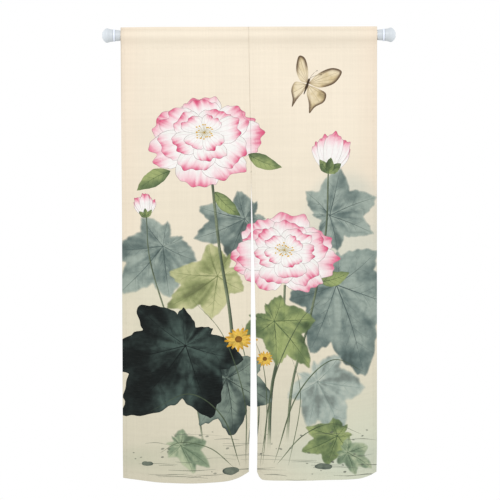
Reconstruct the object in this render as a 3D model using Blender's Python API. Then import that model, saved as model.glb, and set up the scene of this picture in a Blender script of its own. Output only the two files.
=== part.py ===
"""A two-panel noren curtain on its tension rod, in metres, +Z up.

The origin is the centre of the left foot's flat outer face, where the rod presses on the wall.
+X runs along the rod to the right foot, and the printed side faces -Y.
Each panel is one cloth: its bottom hem turns up behind it, and its top turns over the rod as a
pocket with a short heading that stands above it. "Below" is measured down from the rod's axis.
"""

import math

import bmesh
import bpy
import numpy as np

# Rod and feet
ROD_SPAN = 0.974
ROD_RADIUS = 0.015
SOCKET_DEPTH = 0.022
CLEARANCE = 0.0003
RING_RADIUS = 0.0206
RING_EASE = 0.0007
TURNED_SIDES = 28

# A foot's turned outline, from its flat pad on the wall to its collar at the cloth
FOOT_OUTLINE = (
    # from the wall, radius
    (0.0000, 0.0090),
    (0.0015, 0.0122),
    (0.0045, 0.0165),
    (0.0075, 0.0199),
    (0.0110, 0.0228),
    (0.0140, 0.0240),
    (0.0165, 0.0241),
    (0.0190, 0.0236),
    (0.0230, 0.0222),
    (0.0290, 0.0209),
    (0.0357, 0.0202),
    (0.0360, 0.0172),
    (0.0420, 0.0172),
    (0.0423, 0.0188),
    (0.0560, 0.0178),
    (0.0597, 0.0174),
)
GROOVE_ROWS = (11, 12)

# Cloth
CLOTH = 0.0016
LAYER_GAP = 0.0004
PITCH = CLOTH + LAYER_GAP
HEADING_TOP = 0.0280
HEADING_STITCH = 0.0200
HEADING_SAG = 0.0014
HEADING_SAG_REACH = 0.150
POCKET_STITCH = 0.0426
POCKET_EASE = 0.0044
POCKET_EDGE = 0.0490
DROP = 1.4846
BOTTOM_HEM = 0.025
SIDE_HEM = 0.015
SIDE_HEM_EXTRA = 0.0012

# How the side edges run: the seam leans to the right, and below it the slit opens
EDGES = (
    # below the rod, left panel's outer edge, its inner edge, slit's width, right panel's outer edge
    (-0.028, 0.0608, 0.4858, 0.0004, 0.9130),
    (0.200, 0.0616, 0.4893, 0.0004, 0.9122),
    (0.455, 0.0629, 0.4930, 0.0004, 0.9113),
    (0.600, 0.0637, 0.4926, 0.0045, 0.9108),
    (0.800, 0.0639, 0.4915, 0.0125, 0.9103),
    (1.040, 0.0640, 0.4899, 0.0185, 0.9097),
    (1.240, 0.0644, 0.4884, 0.0228, 0.9092),
    (1.390, 0.0647, 0.4840, 0.0275, 0.9089),
    (1.485, 0.0650, 0.4821, 0.0280, 0.9086),
)
OUTER_LEFT, INNER_LEFT, SLIT, OUTER_RIGHT = 1, 2, 3, 4

# How far the bottom edge rises above its lowest point, across each panel
RISES = {
    "left": (
        # share of the width from the left, rise
        (0.00, 0.0147),
        (0.15, 0.0088),
        (0.33, 0.0022),
        (0.50, 0.0000),
        (0.70, 0.0016),
        (0.82, 0.0048),
        (0.91, 0.0132),
        (1.00, 0.0315),
    ),
    "right": (
        (0.00, 0.0330),
        (0.02, 0.0160),
        (0.05, 0.0072),
        (0.10, 0.0064),
        (0.30, 0.0074),
        (0.53, 0.0092),
        (0.72, 0.0104),
        (0.84, 0.0116),
        (0.92, 0.0178),
        (1.00, 0.0310),
    ),
}

# How the hanging cloth stands out of its plane: a bow forward, ripples, and corners that curl back
HANGING = {
    # bow, ripple height, ripples across, where they start, left corner's curl, right corner's curl
    "left": (0.038, 0.0032, 3, 0.0, 0.008, 0.022),
    "right": (0.034, 0.0032, 3, math.pi, 0.014, 0.026),
}
BOW_GROWS = 1.7
CURL_REACH = 0.120

# Where a panel's sections stand, and the heights of the rows down its sheet
ACROSS_EDGE = (0.0, 0.004, 0.009, SIDE_HEM, SIDE_HEM + 0.001, 0.030, 0.058, 0.095)
ACROSS_MIDDLE = 7
DOWN_SHEET = (
    *(0.053, 0.064, 0.130, 0.200, 0.330, 0.455, 0.530, 0.600, 0.760, 0.920),
    *(1.000, 1.080, 1.150, 1.220, 1.280, 1.330, 1.370, 1.405),
)
FOLD_STEPS = 4

# The loose curves of the pocket's cloth between the stitch lines and the rod
SWELL = 0.0015
TOUCHES_ROD = math.radians(38)
LOWER_STEPS = 7
ARC_STEPS = 3
UPPER_STEPS = 4


def clear_scene():
    for obj in list(bpy.data.objects):
        bpy.data.objects.remove(obj)


def material(name, colour, roughness):
    made = bpy.data.materials.new(name)
    made.use_nodes = True
    shader = made.node_tree.nodes["Principled BSDF"]
    shader.inputs["Base Color"].default_value = (*colour, 1.0)
    shader.inputs["Roughness"].default_value = roughness
    shader.inputs["Metallic"].default_value = 0.0
    return made


def from_table(at, table, column=1):
    """A smooth curve through one column of a table, which never overshoots its rows."""
    xs = np.array([row[0] for row in table])
    ys = np.array([row[column] for row in table])
    slopes = np.diff(ys) / np.diff(xs)
    tangents = np.zeros(len(xs))
    tangents[0], tangents[-1] = slopes[0], slopes[-1]
    for i in range(1, len(xs) - 1):
        before, after = slopes[i - 1], slopes[i]
        if before * after > 0:
            tangents[i] = 2 * before * after / (before + after)
    at = min(max(at, xs[0]), xs[-1])
    i = min(int(np.searchsorted(xs, at, side="right")) - 1, len(xs) - 2)
    step = xs[i + 1] - xs[i]
    t = (at - xs[i]) / step
    return float(
        ys[i] * (1 + 2 * t) * (1 - t) ** 2
        + tangents[i] * step * t * (1 - t) ** 2
        + ys[i + 1] * t * t * (3 - 2 * t)
        + tangents[i + 1] * step * t * t * (t - 1)
    )


class Panel:
    """One cloth of the pair. A share runs from 0 at its left edge to 1 at its right edge."""

    def __init__(self, side):
        self.side = side
        self.rises = RISES[side]
        self.width = self.x_at(1.0, DROP) - self.x_at(0.0, DROP)

    def x_at(self, share, below):
        inner_left = from_table(below, EDGES, INNER_LEFT)
        if self.side == "left":
            left, right = from_table(below, EDGES, OUTER_LEFT), inner_left
        else:
            left = inner_left + from_table(below, EDGES, SLIT)
            right = from_table(below, EDGES, OUTER_RIGHT)
        return left + share * (right - left)

    def rise(self, share):
        return from_table(share, self.rises)

    def bottom(self, share):
        """How far below the rod the bottom edge lies."""
        return DROP - self.rise(share)

    def heading_top(self, share):
        """The heading stands a little lower towards the left end of the rod."""
        from_end = self.x_at(share, -HEADING_TOP) - EDGES[0][OUTER_LEFT]
        return HEADING_TOP - HEADING_SAG * max(0.0, 1 - from_end / HEADING_SAG_REACH) ** 2

    def depth(self, share, below):
        """How far the hanging cloth stands behind its own flat plane."""
        bow, ripple, ripples, start, *curls = HANGING[self.side]
        fallen = min(max((below - POCKET_STITCH) / (DROP - POCKET_STITCH), 0.0), 1.0)
        depth = -bow * fallen**BOW_GROWS * (1 - (2 * share - 1) ** 2)
        depth += ripple * fallen * math.sin(math.pi * share) * math.sin(2 * math.pi * ripples * share + start)
        for corner, curl in zip((0.0, 1.0), curls):
            aside = self.x_at(share, below) - self.x_at(corner, below)
            away = math.hypot(aside, self.bottom(corner) - below)
            depth += curl * max(0.0, 1 - away / CURL_REACH) ** 2
        return depth

    def shares_across(self):
        """Sections across the panel: close together at both side hems, even in the middle."""
        near = [distance / self.width for distance in ACROSS_EDGE]
        middle = np.linspace(near[-1], 1 - near[-1], ACROSS_MIDDLE + 2)[1:-1]
        return near + list(middle) + [1 - share for share in reversed(near)]

    def in_side_hem(self, share):
        return min(share, 1 - share) * self.width < (SIDE_HEM + ACROSS_EDGE[4]) / 2


def half_turn(centre, start):
    """Points inside a fold from one layer to the next: (behind, below) of each, without its ends."""
    angles = [start + math.pi * step / FOLD_STEPS for step in range(1, FOLD_STEPS)]
    return [(centre[0] + PITCH / 2 * math.cos(a), centre[1] + PITCH / 2 * math.sin(a)) for a in angles]


def hem_path(bottom):
    """The turned-up bottom hem and the foot of the sheet in front of it: (behind, below) points."""
    fold = bottom - PITCH / 2
    heights = (bottom - BOTTOM_HEM, bottom - BOTTOM_HEM / 2, fold)
    back = [(PITCH / 2, below) for below in heights]
    front = [(-PITCH / 2, below) for below in reversed(heights)]
    return back + half_turn((0.0, fold), 0.0) + front


def curve(start, leave, arrive, end, steps):
    """Points on a smooth curve that leaves its start and reaches its end along its two pulls."""
    points = []
    for step in range(steps + 1):
        t = step / steps
        shares = ((1 - t) ** 3, 3 * t * (1 - t) ** 2, 3 * t * t * (1 - t), t**3)
        pulls = zip(start, leave, arrive, end)
        points.append(tuple(sum(share * at for share, at in zip(shares, pull)) for pull in pulls))
    return points


def pocket_half():
    """One side of the rod pocket, from below its stitch line up to the heading's: (out, below).

    The cloth hangs loose in front of the rod's lower half, lies on its upper half and leaves it
    again in a soft curve.
    """
    around, half = ROD_RADIUS + CLEARANCE + CLOTH / 2, PITCH / 2
    foot = POCKET_STITCH + POCKET_EASE
    lower = curve((half, foot), (half, 0.022), (around + SWELL, 0.015), (around, 0.0), LOWER_STEPS)
    angles = [TOUCHES_ROD * step / ARC_STEPS for step in range(1, ARC_STEPS + 1)]
    arc = [(around * math.cos(a), -around * math.sin(a)) for a in angles]
    sine, cosine = math.sin(TOUCHES_ROD), math.cos(TOUCHES_ROD)
    leave = (arc[-1][0] - 0.007 * sine, arc[-1][1] - 0.007 * cosine)
    upper = curve(arc[-1], leave, (half, 0.0025 - HEADING_STITCH), (half, -HEADING_STITCH), UPPER_STEPS)
    return lower + arc + upper[1:]


def heading_path(top):
    """Front of the pocket, the heading's fold and the back of the pocket: (behind, below) points."""
    fold = PITCH / 2 - top
    half = pocket_half() + [(PITCH / 2, (fold - HEADING_STITCH) / 2), (PITCH / 2, fold)]
    front = [(-out, below) for out, below in half]
    return front + half_turn((0.0, fold), math.pi) + half[::-1] + [(PITCH / 2, POCKET_EDGE)]


def cloth_middle(panel, share):
    """One section of the cloth's mid-surface, and how much thicker a side hem makes each point."""
    hem = hem_path(panel.bottom(share))
    sheet = []
    for below in reversed(DOWN_SHEET):
        # The rows follow the curved bottom edge low down, and level out towards the pocket.
        settled = (below - POCKET_STITCH) / (DOWN_SHEET[-1] - POCKET_STITCH)
        sheet.append((-PITCH / 2, below - settled**3 * panel.rise(share)))
    section = []
    for behind, below in hem + sheet:
        section.append((panel.x_at(share, below), behind + panel.depth(share, below), -below))
    for behind, below in heading_path(panel.heading_top(share)):
        section.append((panel.x_at(share, below), behind, -below))
    extra = np.zeros(len(section))
    if panel.in_side_hem(share):
        extra[len(hem) : len(hem) + len(sheet) - 1] = SIDE_HEM_EXTRA
    return section, extra


def grid_faces(mesh, grid, flip):
    for one, other in zip(grid, grid[1:]):
        for j in range(len(one) - 1):
            loop = [one[j], other[j], other[j + 1], one[j + 1]]
            mesh.faces.new(loop[::-1] if flip else loop)


def rim_faces(mesh, front, back):
    """Joins the edges of the two faces of the cloth all the way round."""
    across, down = len(front), len(front[0])
    rim = [(i, 0) for i in range(across)]
    rim += [(across - 1, j) for j in range(1, down)]
    rim += [(i, down - 1) for i in range(across - 2, -1, -1)]
    rim += [(0, j) for j in range(down - 2, 0, -1)]
    for (i, j), (k, m) in zip(rim, rim[1:] + rim[:1]):
        mesh.faces.new([front[k][m], front[i][j], back[i][j], back[k][m]])


def build_panel(side, finish):
    """The cloth as one closed solid: its mid-surface given thickness along its normals."""
    panel = Panel(side)
    sections = [cloth_middle(panel, share) for share in panel.shares_across()]
    middle = np.array([section for section, _ in sections])
    extra = np.array([extra for _, extra in sections])[:, :, None]
    normals = np.cross(np.gradient(middle, axis=0), np.gradient(middle, axis=1))
    normals[:, :, 0] = 0.0  # the thickness keeps each section in its own upright plane
    normals /= np.linalg.norm(normals, axis=2, keepdims=True)

    mesh = bmesh.new()
    layers = (middle + normals * CLOTH / 2, middle - normals * (CLOTH / 2 + extra))
    front, back = ([[mesh.verts.new(point) for point in row] for row in layer] for layer in layers)
    grid_faces(mesh, front, flip=False)
    grid_faces(mesh, back, flip=True)
    rim_faces(mesh, front, back)
    bmesh.ops.recalc_face_normals(mesh, faces=mesh.faces[:])
    return finish_object(f"{side}_panel", mesh, finish, sharp=50)


def finish_object(name, mesh, finish, sharp):
    data = bpy.data.meshes.new(name)
    mesh.to_mesh(data)
    mesh.free()
    data.materials.append(finish)
    data.shade_smooth()
    data.set_sharp_from_angle(angle=math.radians(sharp))
    obj = bpy.data.objects.new(name, data)
    bpy.context.scene.collection.objects.link(obj)
    return obj


def turned(name, outline, finish, ring=False):
    """A solid turned about +X from (along, radius) points. It is a ring if its outline is a loop."""
    mesh = bmesh.new()
    angles = [2 * math.pi * side / TURNED_SIDES for side in range(TURNED_SIDES)]
    circles = []
    for along, radius in outline:
        at = angles if radius > 0 else angles[:1]
        circles.append([mesh.verts.new((along, radius * math.cos(a), radius * math.sin(a))) for a in at])
    pairs = list(zip(circles, circles[1:]))
    if ring:
        pairs.append((circles[-1], circles[0]))
    for one, other in pairs:
        for side in range(TURNED_SIDES):
            after = (side + 1) % TURNED_SIDES
            if len(one) == 1:
                mesh.faces.new([one[0], other[after], other[side]])
            elif len(other) == 1:
                mesh.faces.new([one[side], one[after], other[0]])
            else:
                mesh.faces.new([one[side], one[after], other[after], other[side]])
    bmesh.ops.recalc_face_normals(mesh, faces=mesh.faces[:])
    return finish_object(name, mesh, finish, sharp=35)


def foot_section():
    """From the pad's centre along the outer outline, then in by the socket that takes the rod."""
    collar = FOOT_OUTLINE[-1][0]
    socket = ROD_RADIUS + CLEARANCE
    floor = collar - SOCKET_DEPTH
    return [(0.0, 0.0), *FOOT_OUTLINE, (collar, socket), (floor, socket), (floor, 0.0)]


def ring_section():
    """The bright band that lies in the foot's groove, with eased outer corners."""
    (start, groove), (end, _) = (FOOT_OUTLINE[row] for row in GROOVE_ROWS)
    low, high, inner = start + CLEARANCE, end - CLEARANCE, groove + CLEARANCE
    return [
        (low, inner),
        (low, RING_RADIUS - RING_EASE),
        (low + RING_EASE, RING_RADIUS),
        (high - RING_EASE, RING_RADIUS),
        (high, RING_RADIUS - RING_EASE),
        (high, inner),
    ]


def build_rod(enamel):
    start = FOOT_OUTLINE[-1][0] - SOCKET_DEPTH + CLEARANCE
    end = ROD_SPAN - start
    turned("rod", [(start, 0.0), (start, ROD_RADIUS), (end, ROD_RADIUS), (end, 0.0)], enamel)


def build_end(side, plastic, bright):
    foot = turned(f"{side}_foot", foot_section(), plastic)
    ring = turned(f"{side}_ring", ring_section(), bright, ring=True)
    if side == "right":
        for obj in (foot, ring):
            obj.rotation_euler.z = math.pi
            obj.location.x = ROD_SPAN


def main():
    clear_scene()
    linen = material("linen", (0.90, 0.82, 0.67), 0.95)
    plastic = material("plastic", (0.78, 0.80, 0.83), 0.40)
    bright = material("bright_plastic", (0.90, 0.92, 0.95), 0.22)
    build_rod(material("enamel", (0.86, 0.87, 0.88), 0.35))
    for side in ("left", "right"):
        build_end(side, plastic, bright)
        build_panel(side, linen)


main()
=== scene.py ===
"""The looks of a two-panel noren curtain on its tension rod, in metres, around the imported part.

Each panel is one thin cloth in its own mesh, folded at the hems and round the rod as its solid is. Its
print is laid out flat as marks on a canvas. Their edges run through the mesh, so they stay crisp.
"""

import math

import bpy
import numpy as np
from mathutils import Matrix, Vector
from mathutils.geometry import delaunay_2d_cdt


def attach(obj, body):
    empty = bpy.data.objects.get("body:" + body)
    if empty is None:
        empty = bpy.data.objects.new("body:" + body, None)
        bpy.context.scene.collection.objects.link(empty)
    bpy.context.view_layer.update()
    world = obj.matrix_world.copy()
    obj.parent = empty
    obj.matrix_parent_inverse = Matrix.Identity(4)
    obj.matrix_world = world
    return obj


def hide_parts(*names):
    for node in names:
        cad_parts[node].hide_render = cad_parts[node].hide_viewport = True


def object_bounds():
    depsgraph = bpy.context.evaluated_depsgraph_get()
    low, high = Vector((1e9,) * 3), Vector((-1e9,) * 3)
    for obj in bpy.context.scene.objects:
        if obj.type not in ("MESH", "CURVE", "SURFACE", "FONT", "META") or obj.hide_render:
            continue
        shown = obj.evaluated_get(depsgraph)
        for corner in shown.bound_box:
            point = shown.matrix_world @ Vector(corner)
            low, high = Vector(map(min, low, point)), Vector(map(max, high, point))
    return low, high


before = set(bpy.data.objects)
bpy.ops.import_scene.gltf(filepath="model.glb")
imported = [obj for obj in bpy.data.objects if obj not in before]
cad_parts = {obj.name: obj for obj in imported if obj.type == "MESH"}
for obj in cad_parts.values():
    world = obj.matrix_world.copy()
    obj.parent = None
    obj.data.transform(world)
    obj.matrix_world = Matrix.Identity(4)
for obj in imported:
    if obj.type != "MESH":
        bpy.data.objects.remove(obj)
cad_low, cad_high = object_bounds()

# Sizes that the part's solids have too
ROD_SPAN = 0.974
ROD_RADIUS = 0.015
SOCKET_DEPTH = 0.022
CLEARANCE = 0.0003
RING_RADIUS = 0.0206
HEADING_TOP = 0.0280
HEADING_STITCH = 0.0200
HEADING_SAG = 0.0014
HEADING_SAG_REACH = 0.150
POCKET_STITCH = 0.0426
POCKET_EASE = 0.0044
POCKET_EDGE = 0.0490
SWELL = 0.0015
TOUCHES_ROD = math.radians(38)
DROP = 1.4846
BOTTOM_HEM = 0.025
HEM_TOP = DROP - BOTTOM_HEM
SIDE_HEM = 0.015
LEVEL_FROM = 1.405

# The shown cloth is finer than its solid
CLOTH = 0.0009
PITCH = 0.0014
ON_ROD = 0.0008
SIDE_HEM_EXTRA = 0.0010
EDGE_ROUND = 0.0016
SEAM_ROUND = 0.0019
SEAM_CLOSES = 0.00021
SEAM_END = 0.455
# How far below its raw edge the bottom hem is sewn
IN_HEM = 0.002
HEM_LINE = HEM_TOP + IN_HEM

# Painted shade: how much darker the cloth is painted over a side hem and over the bottom hem, where less
# light shows through it, in the seam's crease and on the upper part of its left fold, which is turned from
# the light
HEM_SHADE = 0.010
FOOT_SHADE = 0.006
CREASE_SHADE = 0.045
CREASE_REACH = 0.0011
FOLD_SHADE = 0.100
FOLD_REACH = 0.0024
FOLD_SHADE_ENDS = 0.34

EDGES = (
    # below the rod, left panel's outer edge, its inner edge, slit's width, right panel's outer edge
    (-0.028, 0.0608, 0.4858, 0.0004, 0.9130),
    (0.200, 0.0616, 0.4893, 0.0004, 0.9122),
    (0.455, 0.0629, 0.4930, 0.0004, 0.9113),
    (0.600, 0.0637, 0.4926, 0.0045, 0.9108),
    (0.800, 0.0639, 0.4915, 0.0125, 0.9103),
    (1.040, 0.0640, 0.4899, 0.0185, 0.9097),
    (1.240, 0.0644, 0.4884, 0.0228, 0.9092),
    (1.390, 0.0647, 0.4840, 0.0275, 0.9089),
    (1.485, 0.0650, 0.4821, 0.0280, 0.9086),
)
OUTER_LEFT, INNER_LEFT, SLIT, OUTER_RIGHT = 1, 2, 3, 4

RISES = {
    "left": (
        # share of the width from the left, rise of the bottom edge
        (0.00, 0.0147),
        (0.15, 0.0088),
        (0.33, 0.0022),
        (0.50, 0.0000),
        (0.70, 0.0016),
        (0.82, 0.0048),
        (0.91, 0.0132),
        (1.00, 0.0315),
    ),
    "right": (
        (0.00, 0.0330),
        (0.02, 0.0160),
        (0.05, 0.0072),
        (0.10, 0.0064),
        (0.30, 0.0074),
        (0.53, 0.0092),
        (0.72, 0.0104),
        (0.84, 0.0116),
        (0.92, 0.0178),
        (1.00, 0.0310),
    ),
}
HANGING = {
    # bow, ripple height, ripples across, where they start, left corner's curl, right corner's curl
    "left": (0.038, 0.0032, 3, 0.0, 0.008, 0.022),
    "right": (0.034, 0.0032, 3, math.pi, 0.014, 0.026),
}
BOW_GROWS = 1.7
CURL_REACH = 0.120

# Small unevenness of the shown cloth
PUCKERS = (
    # below the rod, height, reach, length of one pucker
    (POCKET_STITCH, 0.00028, 0.0055, 0.0160),
    (HEM_LINE, 0.00030, 0.0055, 0.0190),
)
# The same three sizes of the puckers along the side hems
SIDE_PUCKER = (0.00030, 0.008, 0.021)
HEADING_WAVE = 0.0008
# The right panel's unevenness is read this far on, so that it isn't the left one's
RIGHT_NOISE = 7.3
SOFT_FOLDS = (
    # height, size
    (0.0014, 0.150),
    (0.0005, 0.055),
)

# The mesh's columns, those near a side edge, beside a side hem's raw edge and near the corners
COLUMNS = 36
ROLL_COLUMNS = (0.0003, 0.0009, 0.0017, 0.0027)
HEM_COLUMNS = (SIDE_HEM - 0.0004, SIDE_HEM + 0.0004)
CORNER_COLUMNS = (0.0042, 0.0060, 0.0080, 0.0105, 0.0185, 0.0215, 0.0280)
# Rows this near to the foot have points between the columns too
FOOT_ROWS = 0.0030
# Rows down the sheet, which stay clear of its ends, in the turned-up hem and beside the sewing
ROW_STEP, ROWS_CLEAR, HEM_ROWS, STITCH_ROWS = 0.0130, 0.0040, 0.0040, 0.0022
# Points along the puckers, and under the marks whose tones change inside them
PUCKER_STEP, MARK_STEP = 0.0035, 0.0052
# Outlines have closer points below this and this near to a panel's edge
BENDS_BELOW, BENDS_WITHIN, BEND_STEP = 0.80, 0.045, 0.0040
FOLD_STEPS, ARC_STEPS, POCKET_STEPS = 8, 7, 13

TURN = 2 * math.pi
# How much light the palest cloth returns
REFLECTS = 0.712


# ---- small tools


def from_table(at, table, column=1):
    """A smooth curve through one column of a table, which never overshoots its rows."""
    xs = np.array([row[0] for row in table])
    ys = np.array([row[column] for row in table])
    slopes = np.diff(ys) / np.diff(xs)
    tangents = np.concatenate(([slopes[0]], np.zeros(len(xs) - 2), [slopes[-1]]))
    for i in range(1, len(xs) - 1):
        before, after = slopes[i - 1], slopes[i]
        if before * after > 0:
            tangents[i] = 2 * before * after / (before + after)
    at = np.clip(at, xs[0], xs[-1])
    i = np.clip(np.searchsorted(xs, at, side="right") - 1, 0, len(xs) - 2)
    step = xs[i + 1] - xs[i]
    t = (at - xs[i]) / step
    return (
        ys[i] * (1 + 2 * t) * (1 - t) ** 2
        + tangents[i] * step * t * (1 - t) ** 2
        + ys[i + 1] * t * t * (3 - 2 * t)
        + tangents[i + 1] * step * t * t * (t - 1)
    )


def smoothstep(low, high, x):
    t = np.clip((x - low) / (high - low), 0, 1)
    return t * t * (3 - 2 * t)


def hump(x, reach):
    """A soft bump: 1 at zero, about a third at that reach, and nothing well past it."""
    return np.exp(-((x / reach) ** 2))


def lattice(ix, iy, seed):
    """A fixed random number from 0 to 1 at each corner of a lattice."""
    h = np.sin(ix * 127.1 + iy * 311.7 + seed * 74.7) * 43758.5453
    return h - np.floor(h)


def cloud(points, size, seed, octaves=3):
    """Smooth noise from about -1 to 1, with features of that size."""
    total, weight, norm = 0.0, 1.0, 0.0
    for octave in range(octaves):
        p = np.asarray(points, float) / size * 2**octave
        cell = np.floor(p)
        f = p - cell
        f = f * f * (3 - 2 * f)
        (ix, iy), (fx, fy), s = cell.T, f.T, seed + 13 * octave
        low = lattice(ix, iy, s) * (1 - fx) + lattice(ix + 1, iy, s) * fx
        high = lattice(ix, iy + 1, s) * (1 - fx) + lattice(ix + 1, iy + 1, s) * fx
        total = total + weight * ((low * (1 - fy) + high * fy) * 2 - 1)
        norm += weight
        weight *= 0.5
    return total / norm * 1.5


def along_line(at, size, seed):
    """The same noise along one line."""
    return cloud(np.stack((at, np.zeros_like(at)), 1), size, seed)


def rgb(red, green, blue):
    return np.array([red, green, blue]) / 255.0


def mix(a, b, t):
    t = np.asarray(t)[..., None] if np.ndim(t) else t
    return a * (1 - t) + b * t


def pairs(xs, ys):
    """Points at every pair of one of xs and one of ys."""
    return np.stack(np.meshgrid(xs, ys), -1).reshape(-1, 2)


def linear(colour):
    """Linear light from a screen colour."""
    return np.where(colour <= 0.04045, colour / 12.92, ((colour + 0.055) / 1.055) ** 2.4)


def through(points, count):
    """A smooth open curve through a few points."""
    p = np.asarray(points, float)
    if len(p) == 2:
        return p[0] + (p[1] - p[0]) * np.linspace(0, 1, count)[:, None]
    p = np.vstack((2 * p[0] - p[1], p, 2 * p[-1] - p[-2]))
    at = np.linspace(0, len(p) - 3, count)
    i = np.minimum(at.astype(int), len(p) - 4)
    t = (at - i)[:, None]
    a, b, c, d = p[i], p[i + 1], p[i + 2], p[i + 3]
    square, cube = 2 * a - 5 * b + 4 * c - d, 3 * b - a - 3 * c + d
    return 0.5 * (2 * b + (c - a) * t + square * t**2 + cube * t**3)


def full_turn(count):
    """The angles of even steps once round."""
    return np.linspace(0, TURN, count + 1)[:-1]


def turned_by(angle):
    c, s = math.cos(angle), math.sin(angle)
    return np.array([[c, -s], [s, c]])


def perpendicular(path):
    along = np.gradient(path, axis=0)
    along /= np.linalg.norm(along, axis=1, keepdims=True) + 1e-12
    return np.stack((-along[:, 1], along[:, 0]), 1)


def outward_normals(outline):
    """Unit vectors that point out of a closed outline, one at each of its points."""
    ring = np.vstack((outline[-1], outline, outline[0]))
    after = ring[2:]
    area = (outline[:, 0] * after[:, 1] - after[:, 0] * outline[:, 1]).sum()
    return perpendicular(ring)[1:-1] * (-1 if area > 0 else 1)


def distance_to(points, outline):
    """How far each point lies from a closed outline."""
    a, b = outline, np.roll(outline, -1, 0)
    ab = b - a
    best = np.full(len(points), np.inf)
    for start in range(0, len(points), 4000):
        p = points[start : start + 4000, None, :]
        t = np.clip(((p - a) * ab).sum(2) / ((ab * ab).sum(1) + 1e-18), 0, 1)
        best[start : start + 4000] = np.linalg.norm(p - (a + t[..., None] * ab), axis=2).min(1)
    return best


def inside(points, outline):
    """Which points an outline winds round, also where it crosses itself."""
    a, b = outline, np.roll(outline, -1, 0)
    x, y = points[:, 0][:, None], points[:, 1][:, None]
    left = (b[:, 0] - a[:, 0]) * (y - a[:, 1]) - (x - a[:, 0]) * (b[:, 1] - a[:, 1])
    up = (a[:, 1] <= y) & (b[:, 1] > y) & (left > 0)
    down = (a[:, 1] > y) & (b[:, 1] <= y) & (left < 0)
    return up.sum(1) != down.sum(1)


def within(points, outline):
    """The indices of the points inside an outline."""
    low, high = outline.min(0), outline.max(0)
    near = np.flatnonzero(((points >= low) & (points <= high)).all(1))
    pieces = [near[k : k + 20000] for k in range(0, len(near), 20000)]
    found = [piece[inside(points[piece], outline)] for piece in pieces]
    return np.concatenate(found) if found else near


def make_mesh(name, points, faces, finish):
    mesh = bpy.data.meshes.new(name)
    mesh.from_pydata(np.asarray(points).tolist(), [], faces)
    mesh.materials.append(finish)
    return mesh


def add_colours(mesh, name, domain, colours):
    layer = mesh.attributes.new(name, "FLOAT_COLOR", domain)
    layer.data.foreach_set("color", np.asarray(colours, np.float32).ravel())


def show(mesh):
    obj = bpy.data.objects.new(mesh.name, mesh)
    bpy.context.scene.collection.objects.link(obj)
    return obj


# ---- the print's marks


class Mark:
    """One painted shape on the canvas: its outline, and a colour and cover for any point inside it.

    A fine one changes its tone inside. Its rows are how far in from its outline it does so most."""

    def __init__(self, outline, paint, fine, rows):
        self.outline = np.asarray(outline, float)
        self.paint = paint
        self.fine = fine
        self.rows = rows

    def row_points(self):
        """Mesh points just inside the outline, where a wash's wet edge changes its tone."""
        outward = outward_normals(self.outline)
        found = [np.zeros((0, 2))]
        for row in self.rows:
            points = self.outline - row * outward
            found.append(points[distance_to(points, self.outline) > 0.8 * row])
        points = np.vstack(found)
        return points[inside(points, self.outline)]


marks = []


def add_mark(outline, paint, fine=False, rows=()):
    marks.append(Mark(outline, paint, fine, rows))


def inked(points, tone, cover):
    """Red, green, blue and cover at each point, from values that may be the same for all."""
    count = len(points)
    return np.column_stack((np.broadcast_to(tone, (count, 3)), np.broadcast_to(cover, count)))


# The size of a brush line's uneven patches, how dark they get and how much they thin out
INK_PATCH, INK_DARKER, INK_THINS = 0.020, 0.75, 0.35
STROKE_STEP = 0.011
# Fine lines: their widths from start to end, how well they cover, and their count of points
TWIG = ((0.0013, 0.0009, 0.0004), 0.45, 4)
MIDRIB = ((0.0022, 0.0014, 0.0005), 0.75)
SIDE_VEIN = ((0.0012, 0.0009, 0.0004), 0.50, 4)
PETAL_VEIN = ((0.0006, 0.0010, 0.0004), 0.45, 5)
STAMEN = ((0.0008, 0.0010, 0.0008), 0.80, 3)
CREASE = ((0.0008, 0.0008, 0.0004), 0.50, 3)
WING_VEIN = ((0.0012, 0.0009, 0.0005), 0.60, 4)
BODY = ((0.0070, 0.0085, 0.0020), 0.95, 9)
FEELER = ((0.0010, 0.0008, 0.0008), 0.85)


def brush_paint(colour, cover, seed):
    """A brush line's ink, a little uneven along its way."""

    def paint(points):
        uneven = cloud(points, INK_PATCH, seed)
        tone = mix(colour, colour * INK_DARKER, np.clip(uneven, 0, 1))
        return inked(points, tone, cover * (1 - INK_THINS * np.clip(-uneven, 0, 1)))

    return paint


def brush_outline(points, widths, count):
    """The outline of a brush line through a few points, with widths that are evenly spaced along it."""
    path = through(points, count)
    width = np.interp(np.linspace(0, 1, count), np.linspace(0, 1, len(widths)), widths)[:, None] / 2
    side = perpendicular(path)
    return np.vstack((path + side * width, (path - side * width)[::-1]))


def line_length(points):
    return float(np.linalg.norm(np.diff(np.asarray(points, float), axis=0), axis=1).sum())


def stroke(points, colour, seed, widths, cover, count=None):
    """A brush line through a few points."""
    count = count or int(np.clip(line_length(points) / STROKE_STEP, 4, 60))
    add_mark(brush_outline(points, widths, count), brush_paint(colour, cover, seed))


# How large a wash's pools, their grain and its blooms are, and how far in its wet rim reaches
POOL, POOL_GRAIN, BLOOM, WET_RIM = 0.050, 0.013, 0.085, 0.0030
WASH_ROWS = (0.0026, 0.0058)


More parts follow.
